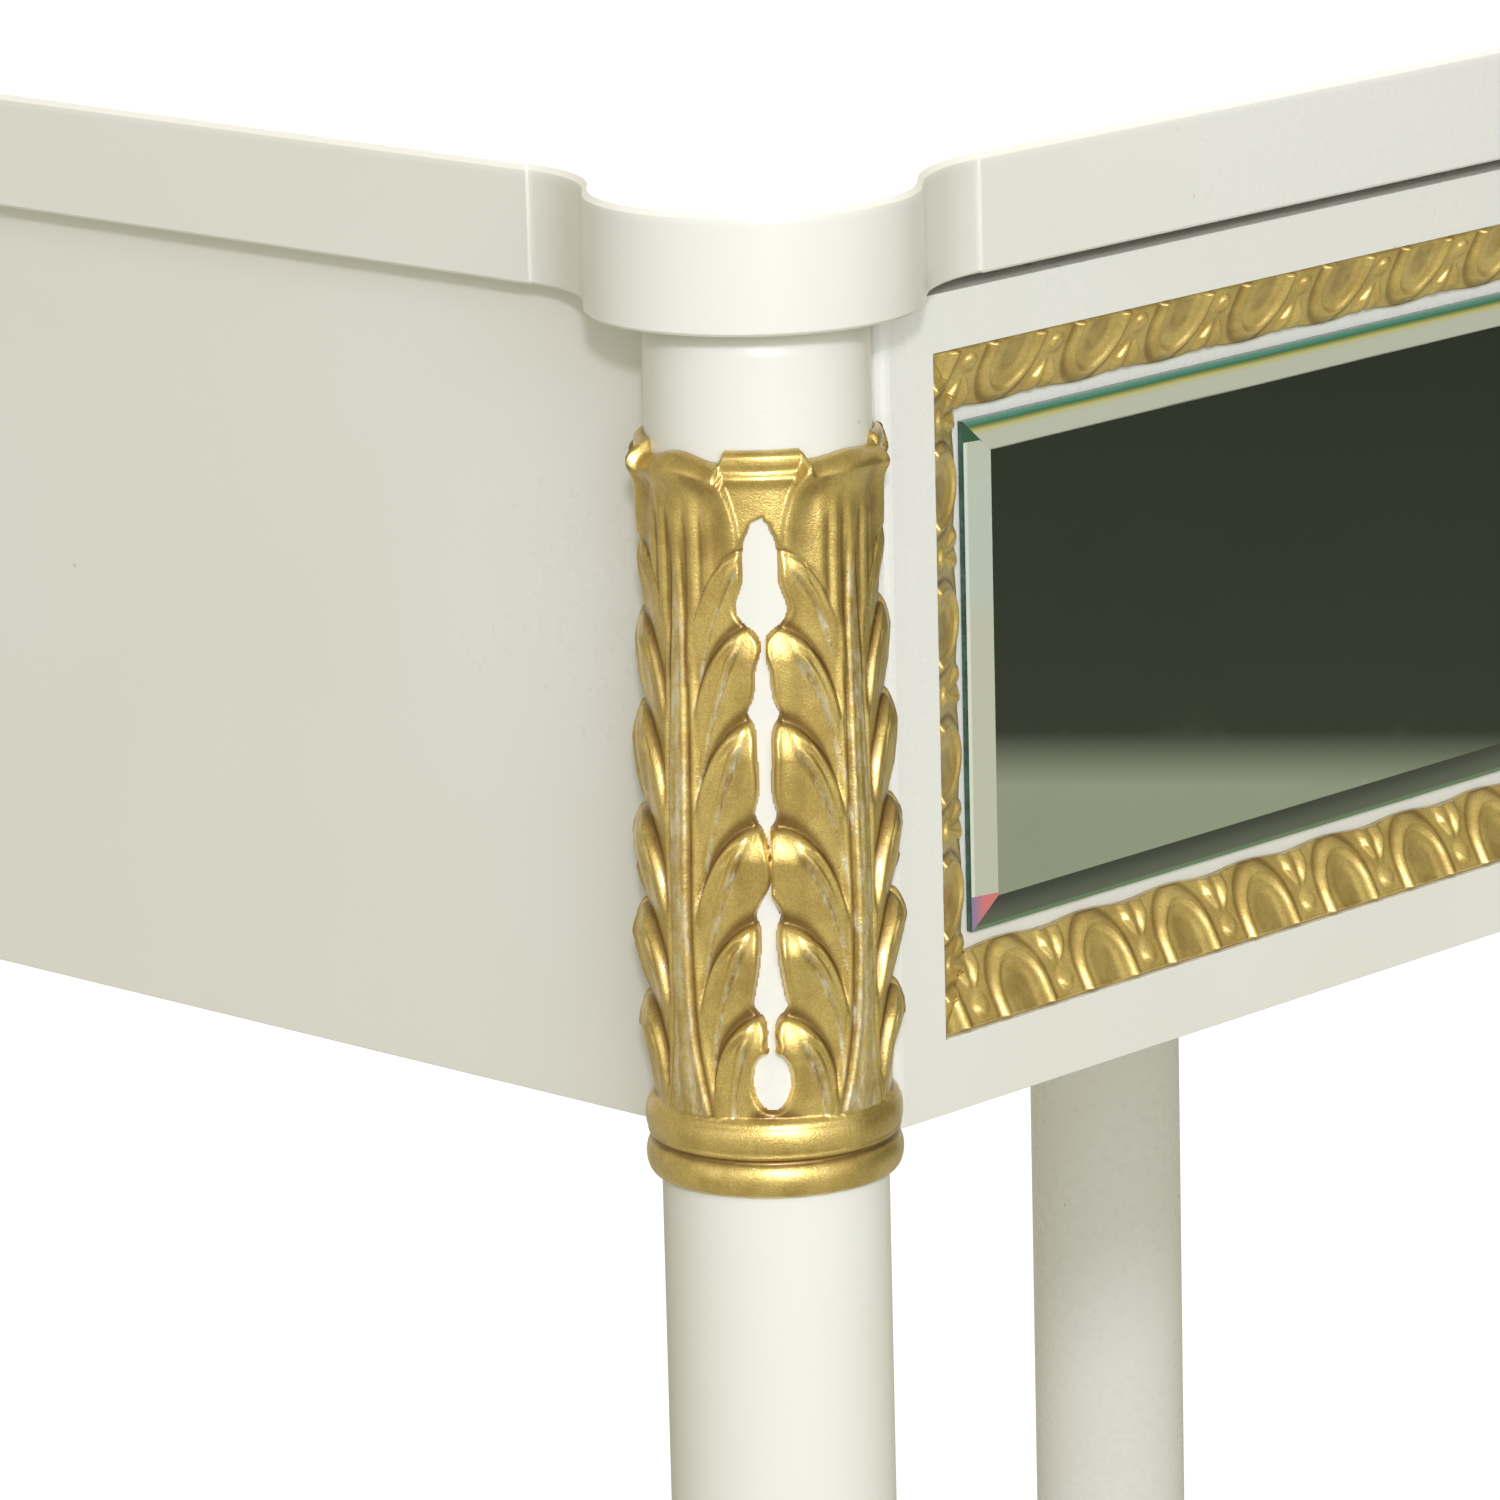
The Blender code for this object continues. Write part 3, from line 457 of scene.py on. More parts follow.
def leafCarving(angle, height):
    # how far the carving stands out of the leg, and its hollow and worn masks
    arc = np.pi / 4 * collar["arcScale"] * collar["neck"]    # from a midrib to the middle of a gap
    fromRib = (angle - 135) % 90 - 45                         # degrees
    handed = np.sign(fromRib)
    ribAway = np.abs(fromRib) / 45 * arc
    gapAway = arc - ribAway
    gapSide = gapAway + handed * collar["gapShift"]
    jitter = np.sin(angle / 17.0) * 0.8 * mm
    heightMm = height / mm
    reach = throughPoints(heightMm, leafReach) * mm
    gapHalf = throughPoints(heightMm + jitter / mm * 0.5, gapWidths) * mm
    holeAt, holeWide, holeTall = collar["hole"]
    eye = np.sqrt((gapSide / holeWide) ** 2 + ((height - holeAt) / holeTall) ** 2) - 1
    inside = np.minimum(gapSide - gapHalf, eye * holeWide)   # distance in from the leaf's outline

    # leaflets, one over the other
    ribHalf = throughPoints(heightMm, ribWidths) * mm
    fromTip = gapAway - 1.5 * mm
    across = np.clip(fromTip / (arc - ribHalf - 1.5 * mm), 0, 0.985)   # 0 at the gap, 1 at the midrib
    fall = collar["sweep"] * (1 - np.sqrt(1 - across ** 2))
    level = height + fall + jitter
    tips = np.array(leafletTips)
    k = np.clip(np.searchsorted(tips, level), 1, len(tips) - 1)
    share = np.clip((level - tips[k - 1]) / (tips[k] - tips[k - 1]), 0, 1)
    tuck = collar["tuck"]
    nearRib = smoothStep(across, 0.80, 0.95)
    peak = 0.66 + 0.16 * smoothStep(across, 0.1, 0.5)        # broad and round at the tip
    climb = np.clip(share / peak, 0, 1)
    past = np.clip((share - peak) / (1 - peak), 0, 1)
    nose = 1 - 0.50 * past ** 2.2
    body = (tuck + (1 - tuck) * (1.25 * climb - 0.25 * climb ** 2)) * nose
    swell = np.sin(np.pi * np.clip(share, 0, 1))
    inner = smoothStep(across, 0.16, 0.40)
    body -= 0.20 * inner * swell * (1 - smoothStep(across, 0.80, 0.97))
    # a thin cord along the upper edge, and a lip along the gap
    body += 0.15 * bump(share, 0.93, 0.040) * inner
    body -= 0.10 * bump(share, 0.84, 0.035) * inner
    lip = np.where(handed < 0, 0.15, 0.04)
    body += lip * bump(gapSide - gapHalf, 1.1 * mm, 0.5 * mm) * smoothStep(share, 0.0, 0.25) * (1 - past)
    # veins, steeper than the edges
    bend = 0.85 + 0.35 * handed
    vein = smoothStep(across, 0.20, 0.32) * (1 - smoothStep(across, 0.78, 0.92))
    veinShare = 0.72 - bend * (across - 0.30)
    body -= 0.17 * vein * bump(share, veinShare, 0.045)
    body += 0.12 * vein * bump(share, veinShare + 0.12, 0.06)
    secondVein = smoothStep(across, 0.36, 0.46) * (1 - smoothStep(across, 0.80, 0.92))
    body -= 0.12 * secondVein * bump(share, veinShare + 0.26, 0.04)
    body -= (body - tuck) * smoothStep(share, 0.965, 1.0)
    # beside the rib all of it runs into one cord
    body = body * (1 - nearRib) + (0.58 + 0.12 * bump(across, 0.93, 0.05)) * nearRib

    # the plain lobe above the last leaflet, fluted near the rib and flared outward
    lobeEdge = (4.6 + 5.0 * np.clip((heightMm - 139) / 15, 0, 1.2) ** 1.6) * mm
    inLobe = gapSide - lobeEdge
    overLeaflets = smoothStep(level, tips[-1] - 0.3 * mm, tips[-1] + 0.5 * mm)
    fluted = smoothStep(heightMm, 112, 124) * (1 - smoothStep(heightMm, 138, 150))
    flutes = np.cos(2 * np.pi * (ribAway - 0.6 * mm) / (3.9 * mm)) * fluted
    flutes = flutes * (1 - smoothStep(ribAway, 6 * mm, 10 * mm))
    lobe = 0.84 + 0.16 * flutes + 0.24 * bump(inLobe, 1.2 * mm, 1.6 * mm)
    bowl = 0.30 * bump(inLobe, 5.2 * mm, 3.0 * mm) * smoothStep(heightMm, 124, 138)
    lobe -= bowl * (1 - smoothStep(heightMm, 147, 152))
    lobe += 0.18 * smoothStep(heightMm, 148.0, 152.0)
    lobe *= smoothStep(inLobe, -0.9 * mm, 0.35 * mm)
    overBand = smoothStep(heightMm, 134.5, 136.5)
    band = (1.7 + 0.85 * bump(heightMm, 151.3, 1.1) + 0.5 * smoothStep(heightMm, 152.5, 154.6)) * mm
    lobeReach = np.where(inLobe < 0.35 * mm, np.maximum(lobe * reach, band * overBand), lobe * reach)

    stand = body * reach
    stand = stand * (1 - overLeaflets) + lobeReach * overLeaflets

    # midrib: a raised strip between two cords
    strip = 1 - smoothStep(ribAway, ribHalf - 0.35 * mm, ribHalf + 0.25 * mm)
    stripReach = reach * (0.86 + 0.06 * np.cos(np.pi * ribAway / ribHalf))
    beads = 0.05 * mm * (np.sin(2 * np.pi * height / (2.1 * mm)) + np.sin(height / (0.83 * mm)))
    stripReach += (0.55 * mm + beads) * bump(ribAway, ribHalf - 0.75 * mm, 0.55 * mm)
    stripReach -= 0.30 * mm * bump(ribAway, ribHalf * 0.45, 0.4 * mm)
    ribFade = 1 - smoothStep(heightMm, 128, 146)
    stand = stand * (1 - strip * ribFade) + stripReach * strip * ribFade
    groove = 0.55 * mm * bump(ribAway, ribHalf + 0.10 * mm, 0.45 * mm) * ribFade
    stand -= groove * smoothStep(heightMm, 14, 20)
    # an outer cord beside the midrib
    stand += 0.30 * mm * bump(ribAway, ribHalf + 1.5 * mm, 0.5 * mm) * (1 - smoothStep(heightMm, 112, 126))
    stand -= 0.28 * mm * bump(ribAway, ribHalf + 2.3 * mm, 0.4 * mm) * (1 - smoothStep(heightMm, 108, 122))

    # the leaf's rounded outline, and the leg showing between the leaves
    edge = np.sqrt(np.clip(1 - (1 - np.clip(inside / collar["edge"], 0, 1)) ** 2, 0, 1))
    floor = -collar["sunk"]
    stand = np.where(inside > 0, floor + (stand - floor) * (0.30 + 0.70 * edge), floor)

    # beside the ribs the leaflets run almost upright, so they are smoothed across the grid
    smoothing = 0.85 * smoothStep(across, 0.42, 0.70)
    for turn in range(collar["smoothTurns"]):
        wide = np.pad(stand, 1, mode="edge")
        mean = wide[1:-1, 1:-1] * 2 + wide[:-2, 1:-1] + wide[2:, 1:-1]
        mean = (mean + wide[1:-1, :-2] + wide[1:-1, 2:]) / 6
        stand = stand + (mean - stand) * smoothing * (inside > 1.2 * mm)

    # rings
    ringShape = ringProfile(height) * mm
    inRings = 1 - smoothStep(height, collar["ringTop"] - 0.5 * mm, collar["ringTop"] + 0.3 * mm)
    stand = stand * (1 - inRings) + ringShape * inRings

    # painted shade, which darkens the hollows, creases, gaps and where one leaflet goes under the next; and
    # worn places, which lighten
    hollow = (bump(share, 0.02, 0.13) + 0.8 * bump(share, 1.0, 0.05)) * (1 - nearRib)
    hollow = hollow * (1 - strip * ribFade)
    besideRib = 0.9 * bump(ribAway, ribHalf + 0.15 * mm, 0.5 * mm) * ribFade
    hollow = np.maximum(hollow * (1 - overLeaflets), besideRib)
    hollow = np.maximum(hollow, 0.7 * vein * bump(share, veinShare, 0.04) * (1 - overLeaflets))
    hollow = np.maximum(hollow, 0.65 * overLeaflets * smoothStep(-flutes, 0.1, 0.9))
    inBowl = 0.5 * overLeaflets * bump(inLobe, 5.5 * mm, 3.2 * mm)
    hollow = np.maximum(hollow, inBowl * smoothStep(heightMm, 126, 138))
    hollow = np.maximum(hollow, bump(gapSide - gapHalf, 0, 0.5 * mm) * 0.5)
    hollow = np.maximum(hollow, bump(height, collar["ringSplit"], 0.8 * mm))
    hollow = np.maximum(hollow * (1 - inRings), inRings * bump(height, collar["ringSplit"], 0.9 * mm))
    worn = 0.80 * smoothStep(across, 0.05, 0.3) * bump(share, veinShare + 0.02, 0.26) * (1 - overLeaflets)
    worn = np.maximum(worn, 0.78 * strip * ribFade)
    worn = np.maximum(worn, 0.62 * overLeaflets * bump(inLobe, 2.0 * mm, 2.0 * mm))
    worn = np.maximum(worn * (1 - inRings), 0.5 * inRings)
    return stand, hollow, worn


def ringProfile(height):
    # two rounded rings, the upper one broader, in mm
    split, low, high = collar["ringSplit"] / mm, collar["bottom"] / mm, collar["ringTop"] / mm
    h = height / mm
    lower = 1 - ((h - (low + split) / 2) / ((split - low) / 2)) ** 2
    upper = 1 - ((h - (split + high) / 2) / ((high - split) / 2)) ** 2
    shape = np.where(h < split, np.sqrt(np.clip(lower, 0, 1)), np.sqrt(np.clip(upper, 0, 1)))
    step = 0.32 * bump(h, split + 1.1, 0.5) - 0.30 * bump(h, split + 1.9, 0.4)
    step -= 0.2 * bump(h, high - 1.6, 0.4)
    least = 1.4                                              # where the rings are lowest
    return least + (collar["ringReach"] / mm - least) * shape + step


def makeCollar(end, side, gilt):
    axis = legAxis[end, side]
    sideX, endY = (-1 if side == "left" else 1), (-1 if end == "front" else 1)
    # carved for the front left leg, from the side panel's face round to the drawer; mirrored for the others
    columns, rows = collar["columns"], collar["rows"]
    angle = np.linspace(collar["firstAngle"], collar["lastAngle"][end], columns)
    # the rim slopes up and in to the leg; leaf tops stand a little lower than the plain band between
    fromGap = 45 - np.abs((angle - 135) % 90 - 45)
    onLobe = smoothStep(fromGap, 18, 22)
    topHeight = collar["top"] - (2.6 - 1.4 * smoothStep(fromGap, 22, 45)) * mm * onLobe
    topHeight = topHeight + 0.35 * mm * np.sin(angle / 9.0) * onLobe
    slopeHeight = (1.6 + 2.0 * onLobe) * mm
    share = np.linspace(0, 1, rows)[:, None]
    height = collar["bottom"] + (topHeight - slopeHeight - collar["bottom"]) * share
    angles = np.broadcast_to(angle, height.shape)
    stand, hollow, worn = leafCarving(angles, height)
    rim = stand[-1]
    steps = np.linspace(0, 1, collar["rimSteps"])[1:, None]
    rollStand = rim + (0.25 * mm - rim) * steps ** 1.5
    rollHeight = topHeight - slopeHeight * (1 - np.sin(steps * math.pi / 2) ** 0.9)
    inner = np.full((1, columns), -collar["sunk"] * 0.5)
    stand = np.concatenate([stand, rollStand, inner])
    height = np.concatenate([height, rollHeight, (topHeight - 1.2 * mm)[None]])
    more = len(stand) - rows
    hollow = np.concatenate([hollow, np.full((more, columns), 0.25)])
    worn = np.concatenate([worn, np.full((more, columns), 0.25)])
    radius = collar["neck"] + stand
    turn = np.radians(np.broadcast_to(angle, radius.shape))
    clearX = boardEnd - legAxis["front", "left"].x - collar["drawerGap"]

    def placed(r, h, t):
        x, y = r * np.cos(t), r * np.sin(t)
        if end == "front":
            x = np.minimum(x, clearX)             # the drawer's end passes here
        return np.stack([axis.x - sideX * x, axis.y - endY * y, apronBottom + h], axis=-1)

    face = placed(radius, height, turn)
    bore = collar["neck"] - collar["boreDepth"]
    back = placed(np.full((2, columns), bore), np.stack([height[0], height[-1]]), turn[:2])
    piece = carvedSolid(f"carved_collar_{end}_{side}", face, back, {"hollow": hollow, "worn": worn}, gilt)
    if sideX * endY < 0:
        piece.data.flip_normals()
    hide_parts(f"collar_{end}_{side}")
    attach(piece, "carcass")


moulding = {
    "width": 15.0 * mm,
    "lip": 1.4 * mm,             # how thick the moulding is at its inner edge
    "outerStep": 0.9 * mm,       # how far the outer edge lies behind the front
    "pitchNear": 28.5 * mm,      # rounded so that an arch stands in every corner
    "pitchDrawn": 28.0,          # the pitch, in mm, that the carving's own sizes are drawn for
    "scallop": 0.45 * mm,
    "mitreClear": 2.5 * mm,      # sideways swellings die away over this length before a mitre
    "rows": 44,
    "spacing": 0.46 * mm,
}


def mouldingCarving(along, across, pitch):
    # across is 0 at the outer edge and 1 at the inner one; returns the rise above the sloping ground
    w = moulding["width"] / mm
    x = np.abs((along / pitch + 0.5) % 1 - 0.5) * moulding["pitchDrawn"]   # from the middle of an arch
    y = across * w

    def archEdge(half, tip):
        # distance outside a round-ended arch standing on the outer edge
        straight = tip - half * 1.15
        lift = np.clip(y - straight, 0, None) / 1.15
        return np.sqrt(x ** 2 + lift ** 2) - half

    outer, inner = archEdge(8.4, 14.2), archEdge(5.0, 10.6)
    rise = 0.22 + 1.75 * bump(outer, -0.9, 1.10)
    rise += 0.34 * bump(inner, -0.1, 1.2)
    rise -= 0.55 * smoothStep(-inner, 0.6, 4.2)
    gap = moulding["pitchDrawn"] / 2 - x                    # from the middle between two arches
    ball = np.sqrt(gap ** 2 + (y - 4.2) ** 2)
    rise = np.maximum(rise, 1.85 * np.sqrt(np.clip(1 - (ball / 2.3) ** 2, 0, 1)))
    leafHalf = 3.9 * np.clip((y - 6.6) / 5.2, 0, 1) ** 0.8
    leaf = smoothStep(leafHalf - gap, -0.3, 0.9) * smoothStep(y, 6.4, 8.0)
    dart = 0.25 + 1.25 * smoothStep(y, 7.0, 12.6) - 0.95 * bump(gap, 0, 0.75)
    dart += 0.55 * bump(gap, leafHalf * 0.6, 1.0)
    rise = rise * (1 - leaf) + np.maximum(dart, rise * 0.6) * leaf
    rise -= 0.35 * bump(outer, 0.95, 0.6) * (1 - leaf)
    # painted shade, which darkens the hollows round and inside the arches and between the petals
    hollow = 0.8 * bump(outer, 1.0, 0.9) * (1 - leaf * 0.7) + 0.5 * smoothStep(-inner, 0.4, 3.0)
    hollow = hollow + 0.12 * bump(inner, 1.3, 0.8) + 0.5 * leaf * bump(gap, 0, 0.6)
    hollow = hollow * (1 - bump(ball, 0, 2.2))
    worn = 0.6 * bump(outer, -0.9, 0.9) + 0.7 * bump(ball, 0, 1.8) + 0.35 * leaf
    fade = smoothStep(across, 0.0, 0.05)
    rise = rise * (1 - 0.45 * smoothStep(across, 0.86, 1.0))
    return (rise * fade - 0.35 * (1 - fade)) * mm, np.clip(hollow, 0, 1) * fade, worn


def makeMouldings(gilt):
    low = Vector((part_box("moulding_left")[0].x, 0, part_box("moulding_bottom")[0].z))
    high = Vector((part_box("moulding_right")[1].x, 0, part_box("moulding_top")[1].z))
    frontY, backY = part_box("moulding_bottom")[0].y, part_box("moulding_bottom")[1].y
    centre = (low + high) / 2
    deep = backY - moulding["lip"] - frontY
    for turn, label in enumerate(("bottom", "right", "top", "left")):
        upright = turn % 2 == 1
        run = (high.z - low.z) if upright else (high.x - low.x)
        out = (high.x - low.x) / 2 if upright else (high.z - low.z) / 2
        count = round(run / moulding["pitchNear"])
        pitch = run / count
        columns = round(run / moulding["spacing"])
        across = np.linspace(0, 1, moulding["rows"])[:, None]
        inward = across * moulding["width"]
        half = run / 2 - inward
        along = -half + 2 * half * np.linspace(0, 1, columns)[None, :]
        inwards = np.broadcast_to(inward, along.shape)
        rise, hollow, worn = mouldingCarving(along + run / 2, np.broadcast_to(across, along.shape), pitch)
        clear = smoothStep(half - np.abs(along), 0, moulding["mitreClear"])   # 0 where two lengths meet
        # leaf tips reach a little past the inner edge
        scallop = moulding["scallop"] * np.cos(2 * np.pi * along / pitch + np.pi * count)
        scallop = scallop * across ** 6 * clear
        step = moulding["outerStep"]
        depth = frontY + step + (deep - step) * across
        slope = math.atan2(deep, moulding["width"])
        y = np.minimum(depth - rise * math.cos(slope), backY - 0.5 * mm)
        z = inwards - rise * math.sin(slope) * 1.4 * across * (1 - across) * clear + scallop
        face = np.stack([along, y, z - out], axis=-1)
        back = np.stack([
            np.stack([along[0], np.full(columns, backY), np.full(columns, -out)], axis=-1),
            np.stack([along[-1], np.full(columns, backY), z[-1] - out], axis=-1),
        ])
        spin = np.array(Matrix.Rotation(-math.pi / 2 * turn, 3, "Y"))
        shift = np.array((centre.x, 0, centre.z))
        masks = {"hollow": hollow, "worn": worn}
        face, back = face @ spin.T + shift, back @ spin.T + shift
        piece = carvedSolid(f"carved_moulding_{label}", face, back, masks, gilt)
        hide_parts(f"moulding_{label}")
        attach(piece, "drawer")


mirror = {
    "bevel": 7.1 * mm,
    "edge": 1.5 * mm,
    "bands": 10,
    "pineEnd": 4.6 * mm,         # the painted dark green glint, down from the upper corner of the upright bevel
    "pinkEnd": 7.8 * mm,         # the painted pink glint, up from the lower corner
}


def makeMirror(silver, bevel, edge):
    low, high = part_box("mirror_glass")
    centre, half = (low + high) / 2, (high - low) / 2
    face, back = low.y, high.y
    rimY = back - mirror["edge"]
    levels = [(0.0, back), (0.0, rimY)]
    for step in np.linspace(0, 1, mirror["bands"] + 1)[1:]:
        levels.append((mirror["bevel"] * step, rimY + (face - back + mirror["edge"]) * step))
    corners = [(-1, -1), (1, -1), (1, 1), (-1, 1)]
    points, rim, faces, kinds, lit, glint = [], [], [], [], [], []
    for inward, y in levels:
        for side in range(4):                                # three points along each side
            start, end = (
                np.array([x * (half.x - inward), z * (half.z - inward)])
                for x, z in (corners[side], corners[(side + 1) % 4]))
            along = (end - start) / np.linalg.norm(end - start)
            rising = side == 1
            ends = ("pinkEnd", "pineEnd") if rising else ("pineEnd", "pinkEnd")
            first, last = (max(mirror[name] - inward, 0.02 * mm) for name in ends)
            for place in (start, start + along * first, end - along * last):
                points.append((centre.x + place[0], y, centre.z + place[1]))
                rim.append(1 - inward / mirror["bevel"])
    count = 12                                               # points round each level
    for level in range(len(levels) - 1):
        for spot in range(count):
            a, b = level * count + spot, level * count + (spot + 1) % count
            side, part = divmod(spot, 3)
            faces.append((a, b, b + count, a + count))
            kinds.append(1 if level else 2)
            lit.append((0.0, 0.5, 1.0, 0.5)[side])
            glint.append({(3, 0): 0.5, (3, 2): 1.0, (1, 0): 1.0, (1, 2): 0.5}.get((side, part), 0.0))
    faces += [tuple(range(count))[::-1], tuple(len(points) - count + i for i in range(count))]
    kinds += [2, 0]
    lit += [1.0, 1.0]
    glint += [0.0, 0.0]
    piece = addMesh("bevelled_mirror", points, faces, silver, bevel, edge)
    for label, where, values in (("rim", "POINT", rim), ("lit", "FACE", lit), ("glint", "FACE", glint)):
        piece.data.attributes.new(label, "FLOAT", where).data.foreach_set("value", values)
    piece.data.polygons.foreach_set("material_index", kinds)
    piece.data.update()
    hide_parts("mirror_glass")
    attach(piece, "drawer")


edges = {
    "weld": 0.00001,               # metres
    "crease": math.radians(28),    # turned pieces stay sharp above this
    "corner": math.radians(50),    # boards are rounded above this
    "panel": 0.8 * mm,
    "board": 0.7 * mm,
    "front": 0.6 * mm,
}


def finish(node, material, soften=None):
    # the material in every slot, then a small rounding on boards or smooth shading on turned pieces
    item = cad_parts[node]
    for slot in item.material_slots:
        slot.material = material
    item.modifiers.new("weld", "WELD").merge_threshold = edges["weld"]
    if soften is None:
        item.modifiers.new("creases", "EDGE_SPLIT").split_angle = edges["crease"]
        item.modifiers.new("smooth", "WEIGHTED_NORMAL").weight = 80
        return
    bevel = item.modifiers.new("soften", "BEVEL")
    bevel.width, bevel.segments, bevel.limit_method = edges[soften], 2, "ANGLE"
    bevel.angle_limit = edges["corner"]
    bevel.harden_normals = True


def finishFrameNodes():
    cream, creamFront = creamPaint(), creamPaint("creamPaintFront", 1.7)
    alongX = birchWood("birchAcross", (0.06, 1.0, 1.0))
    alongY = birchWood("birchLengthways", (1.0, 0.06, 1.0))
    steel, nylon = turnedSteel(), darkNylon()
    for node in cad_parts:
        if node.startswith(("leg_", "top_slab")):
            finish(node, cream)
        elif node.startswith(("side_panel", "back_panel")):
            finish(node, cream, "panel")
        elif node == "drawer_front":
            finish(node, creamFront, "front")
        elif "screw" in node:
            finish(node, steel)
        elif node.startswith("foot_glide"):
            finish(node, nylon)
        elif node.startswith(("runner", "kicker", "drawer_side")):
            finish(node, alongY, "board")
        elif not node.startswith(("collar", "moulding", "mirror")):
            finish(node, alongX, "board")
    print("paint, wood and metal on the plain pieces")


finishFrameNodes()
gilt = giltPaint("giltCollar", *gilding["collar"])
for end in ("front", "back"):
    for side in ("left", "right"):
        makeCollar(end, side, gilt)
print("collars carved")
makeMouldings(giltPaint("giltMoulding", *gilding["moulding"]))
print("mouldings carved")
makeMirror(silvering(), bevelGlass(), edgeGlass())
print("mirror plate made")


studio = {
    "lampAway": 4.0,
    "keyTurn": 0.80,             # the key stands behind the camera
    "keyRise": math.radians(21),
    "keySize": 0.22,
    "keyPower": 51.0,
    "keyColour": (1.0, 0.95, 1.06),
    "fillTurn": 0.60,            # a broad lamp, a little to the right of the key
    "fillRise": math.radians(16),
    "fillSize": 2.4,
    "fillPower": 80.0,
    "fillColour": (0.92, 1.01, 1.08),
    "backTurn": 3.90,            # a weak one behind the table
    "backRise": math.radians(24),
    "backSize": 2.4,
    "backPower": 42.0,
    "backColour": (1.0, 0.99, 0.95),
    "topHeight": 2.6,            # and a broad weak one straight above
    "topSize": 1.2,
    "topPower": 22.0,
    "topColour": (1.0, 0.99, 0.96),
    "skyColour": (1.0, 0.955, 0.74),
    "skyPower": 0.46,
    "floorHalf": 14.0,
    "floorColour": linear(96, 96, 94),
    "floorGlow": 0.90,           # the floor's own light, so that shadows on it stay faint
    "floorGlowColour": (1, 1, 0.985, 1),
    "wallAway": 13.5,
    "wallHeights": (-0.5, 11.0),
    "wallSides": 48,
    "cardAway": 2.42,            # how far off the dark card stands, along the mirror's view
    "cardTurn": -0.10,
    "cardReach": (0.9, 2.2),     # to the left and to the right
    "cardTall": 1.6,
    "matFrom": 0.30,             # where the grey mat begins, as a share of the way to the card
    "matColour": linear(172, 175, 152),
    "cardFoot": linear(62, 65, 53),
    "cardColour": linear(48, 51, 41),
    "curveAway": 4.8,            # the white curve that the gilding reflects
    "curveFrom": 150.0,          # degrees
    "curveTo": 292.0,
    "curveHeights": (0.1, 2.9),
    "curveSides": 24,
    "curveColour": (1, 0.985, 0.94, 1),
    "curveGlow": 1.15,
}


def makeStudio():
    scene = bpy.context.scene
    scene.view_settings.view_transform = "Standard"
    world = bpy.data.worlds.new("studio")
    scene.world = world
    world.use_nodes = True
    sky = world.node_tree.nodes["Background"]
    sky.inputs["Color"].default_value = (*studio["skyColour"], 1)
    sky.inputs["Strength"].default_value = studio["skyPower"]
    leg = legAxis["front", "left"]
    aim = Vector((leg.x, leg.y, apronBottom + 0.1))
    for name in ("key", "fill", "back"):
        turn, rise = studio[name + "Turn"], studio[name + "Rise"]
        level = math.cos(rise)
        towards = Vector((-math.sin(turn) * level, -math.cos(turn) * level, math.sin(rise)))
        makeLamp(name, aim + towards * studio["lampAway"], aim)
    makeLamp("top", Vector((0, 0, studio["topHeight"])), Vector((0, 0.001, 0)))


def makeLamp(name, place, aim):
    data = bpy.data.lights.new(name, "AREA")
    data.shape, data.size = "DISK", studio[name + "Size"]
    data.energy, data.color = studio[name + "Power"], studio[name + "Colour"]
    item = bpy.data.objects.new(name, data)
    item.location = place
    item.rotation_euler = (aim - place).to_track_quat("-Z", "Y").to_euler()
    bpy.context.scene.collection.objects.link(item)


def curvedStrip(name, middle, away, turns, heights, material):
    # an upright strip bent round a point
    spots = [(middle[0] + away * math.cos(turn), middle[1] + away * math.sin(turn)) for turn in turns]
    points = [(x, y, z) for x, y in spots for z in heights]
    faces = [(2 * n, 2 * n + 2, 2 * n + 3, 2 * n + 1) for n in range(len(turns) - 1)]
    return addMesh(name, points, faces, material)


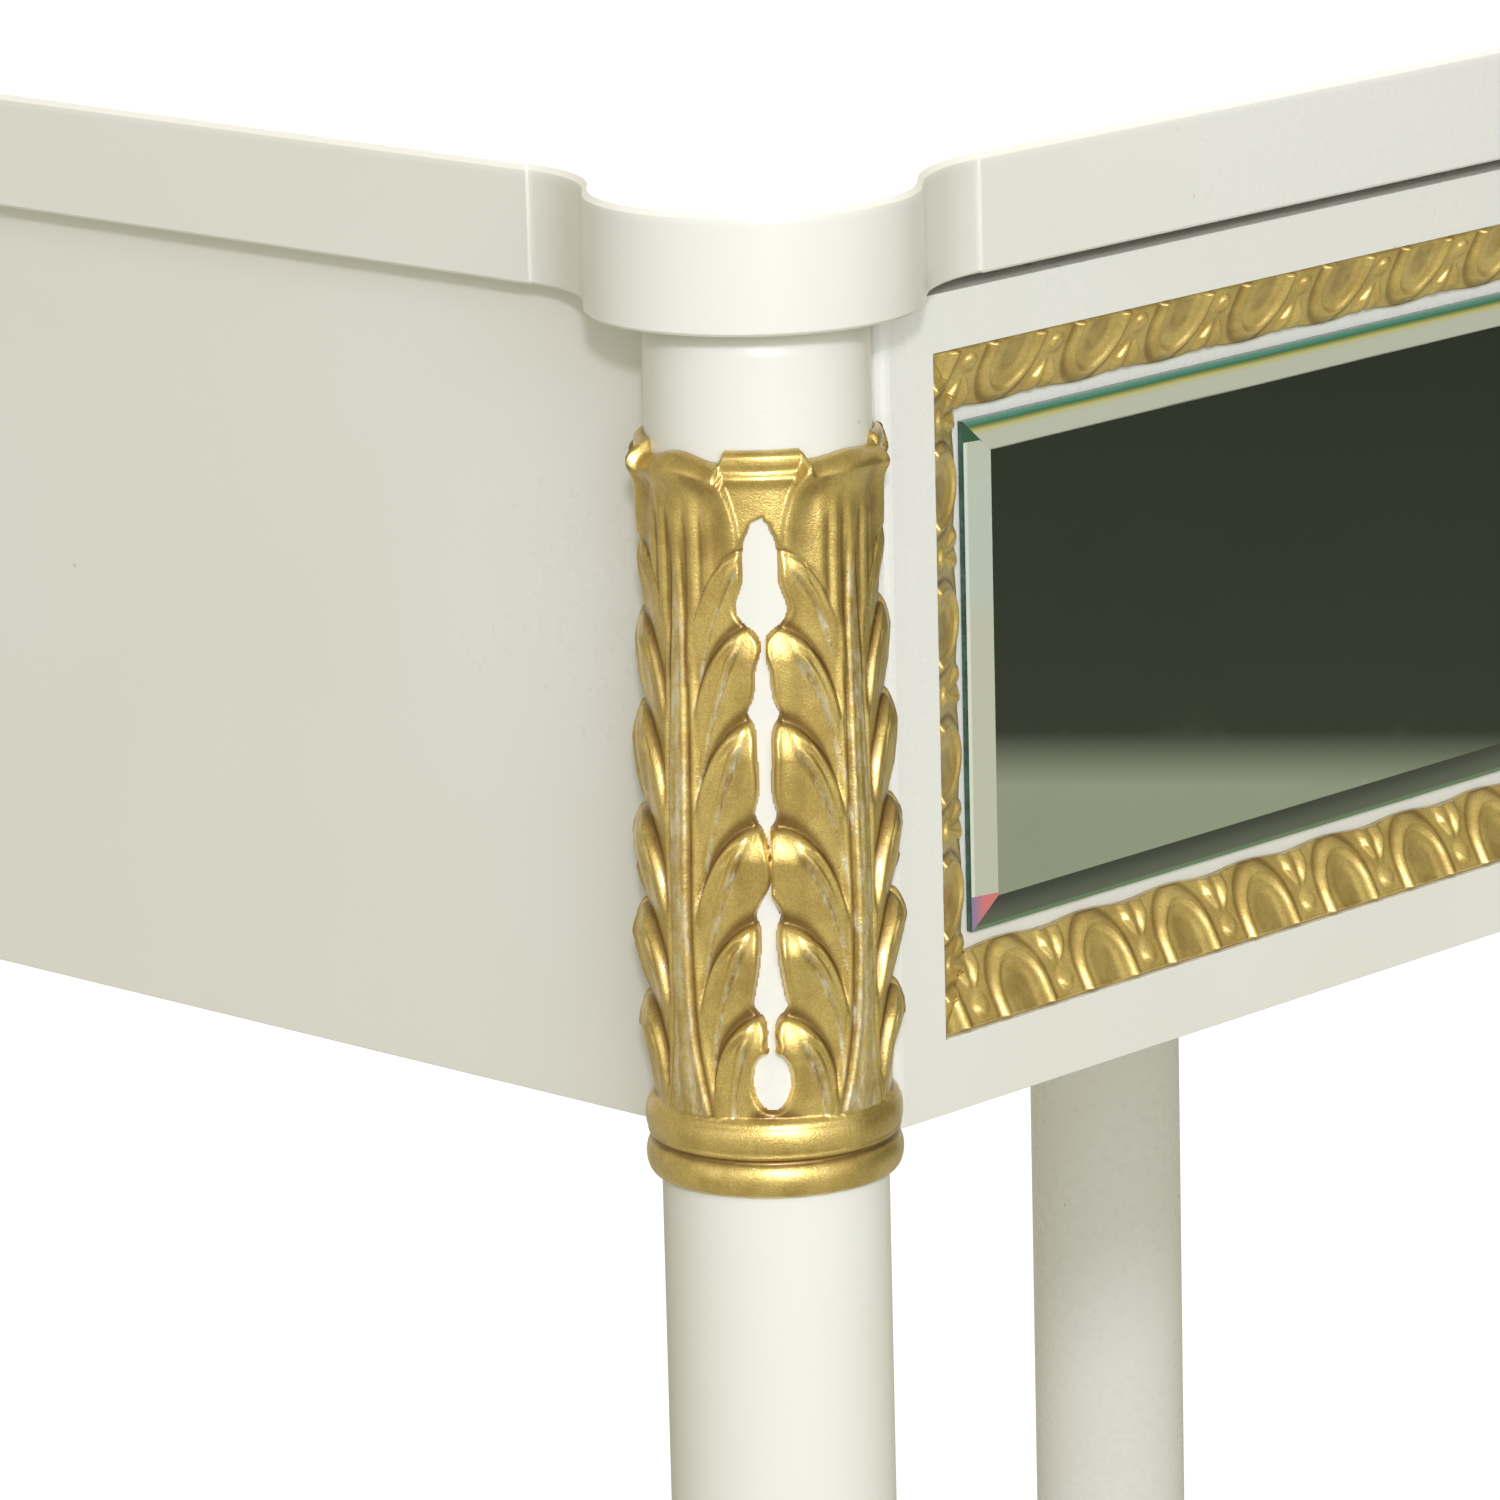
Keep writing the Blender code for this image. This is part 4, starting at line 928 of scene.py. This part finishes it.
def makeFloor():
    look = {"Roughness": 0.8, "Base Color": studio["floorColour"]}
    look.update({"Emission Color": studio["floorGlowColour"], "Emission Strength": studio["floorGlow"]})
    paper = newMaterial("floorPaint", look)[0]
    far = studio["floorHalf"]
    corners = [(-far, -far, 0), (far, -far, 0), (far, far, 0), (-far, far, 0)]
    floor = addMesh("floor", corners, [(0, 1, 2, 3)], paper)
    # the wall round the floor glows the same, and only the camera sees it
    turns = np.linspace(0, 2 * math.pi, studio["wallSides"] + 1)
    wall = curvedStrip("wall", (0, 0), studio["wallAway"], turns, studio["wallHeights"], paper)
    wall.visible_shadow = False
    for item in (floor, wall):
        item.visible_diffuse = item.visible_glossy = False


def makeCard():
    # a dark card that only reflections see, and a grey mat before it: they are what the mirror looks at
    ahead = Vector((lookAhead.x, -lookAhead.y, 0)).normalized()
    beside = Vector((-ahead.y, ahead.x, 0)) + math.tan(studio["cardTurn"]) * ahead
    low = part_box("mirror_glass")[0]
    start = Vector((low.x + 0.10, low.y, 0.002))             # under the mirror, just above the floor
    middle = start + ahead * studio["cardAway"]
    near = start + ahead * studio["cardAway"] * studio["matFrom"]
    lift = Vector((0, 0, studio["cardTall"]))
    left, right = -studio["cardReach"][0] * beside, studio["cardReach"][1] * beside
    points = [near + left, near + right, middle + right, middle + left]
    points = [tuple(point) for point in points + [middle + right + lift, middle + left + lift]]
    look = {"Base Color": (0, 0, 0, 1), "Roughness": 1.0, "Emission Strength": 1.0}
    cloth, begin, shader = newMaterial("cardCloth", look)
    height = begin.node("SeparateXYZ", None, {0: begin.node("TexCoord", output=3)}, output=2)
    bands = [(0.0, "matColour"), (0.030, "cardFoot"), (0.25, "cardColour")]
    stops = [(at, studio[name][:3]) for at, name in bands]
    plug(begin.node("ValToRGB", {"stops": stops}, {"Fac": height}), shader, "Emission Color")
    card = addMesh("dark_card", points, [(0, 1, 2, 3), (3, 2, 4, 5)], cloth)
    card.visible_camera = card.visible_diffuse = card.visible_shadow = False


def makeReflector():
    # a broad white curve behind the camera and the lamp, which only reflections see
    look = {"Base Color": (0, 0, 0, 1), "Emission Color": studio["curveColour"]}
    look["Emission Strength"] = studio["curveGlow"]
    cloth = newMaterial("curveCloth", look)[0]
    turns = np.radians(np.linspace(studio["curveFrom"], studio["curveTo"], studio["curveSides"] + 1))
    leg = legAxis["front", "left"]
    curve = curvedStrip("white_curve", leg, studio["curveAway"], turns, studio["curveHeights"], cloth)
    curve.visible_camera = curve.visible_diffuse = curve.visible_shadow = False


makeStudio()
makeFloor()
makeCard()
makeReflector()
print("studio lit")

bpy.context.view_layer.update()
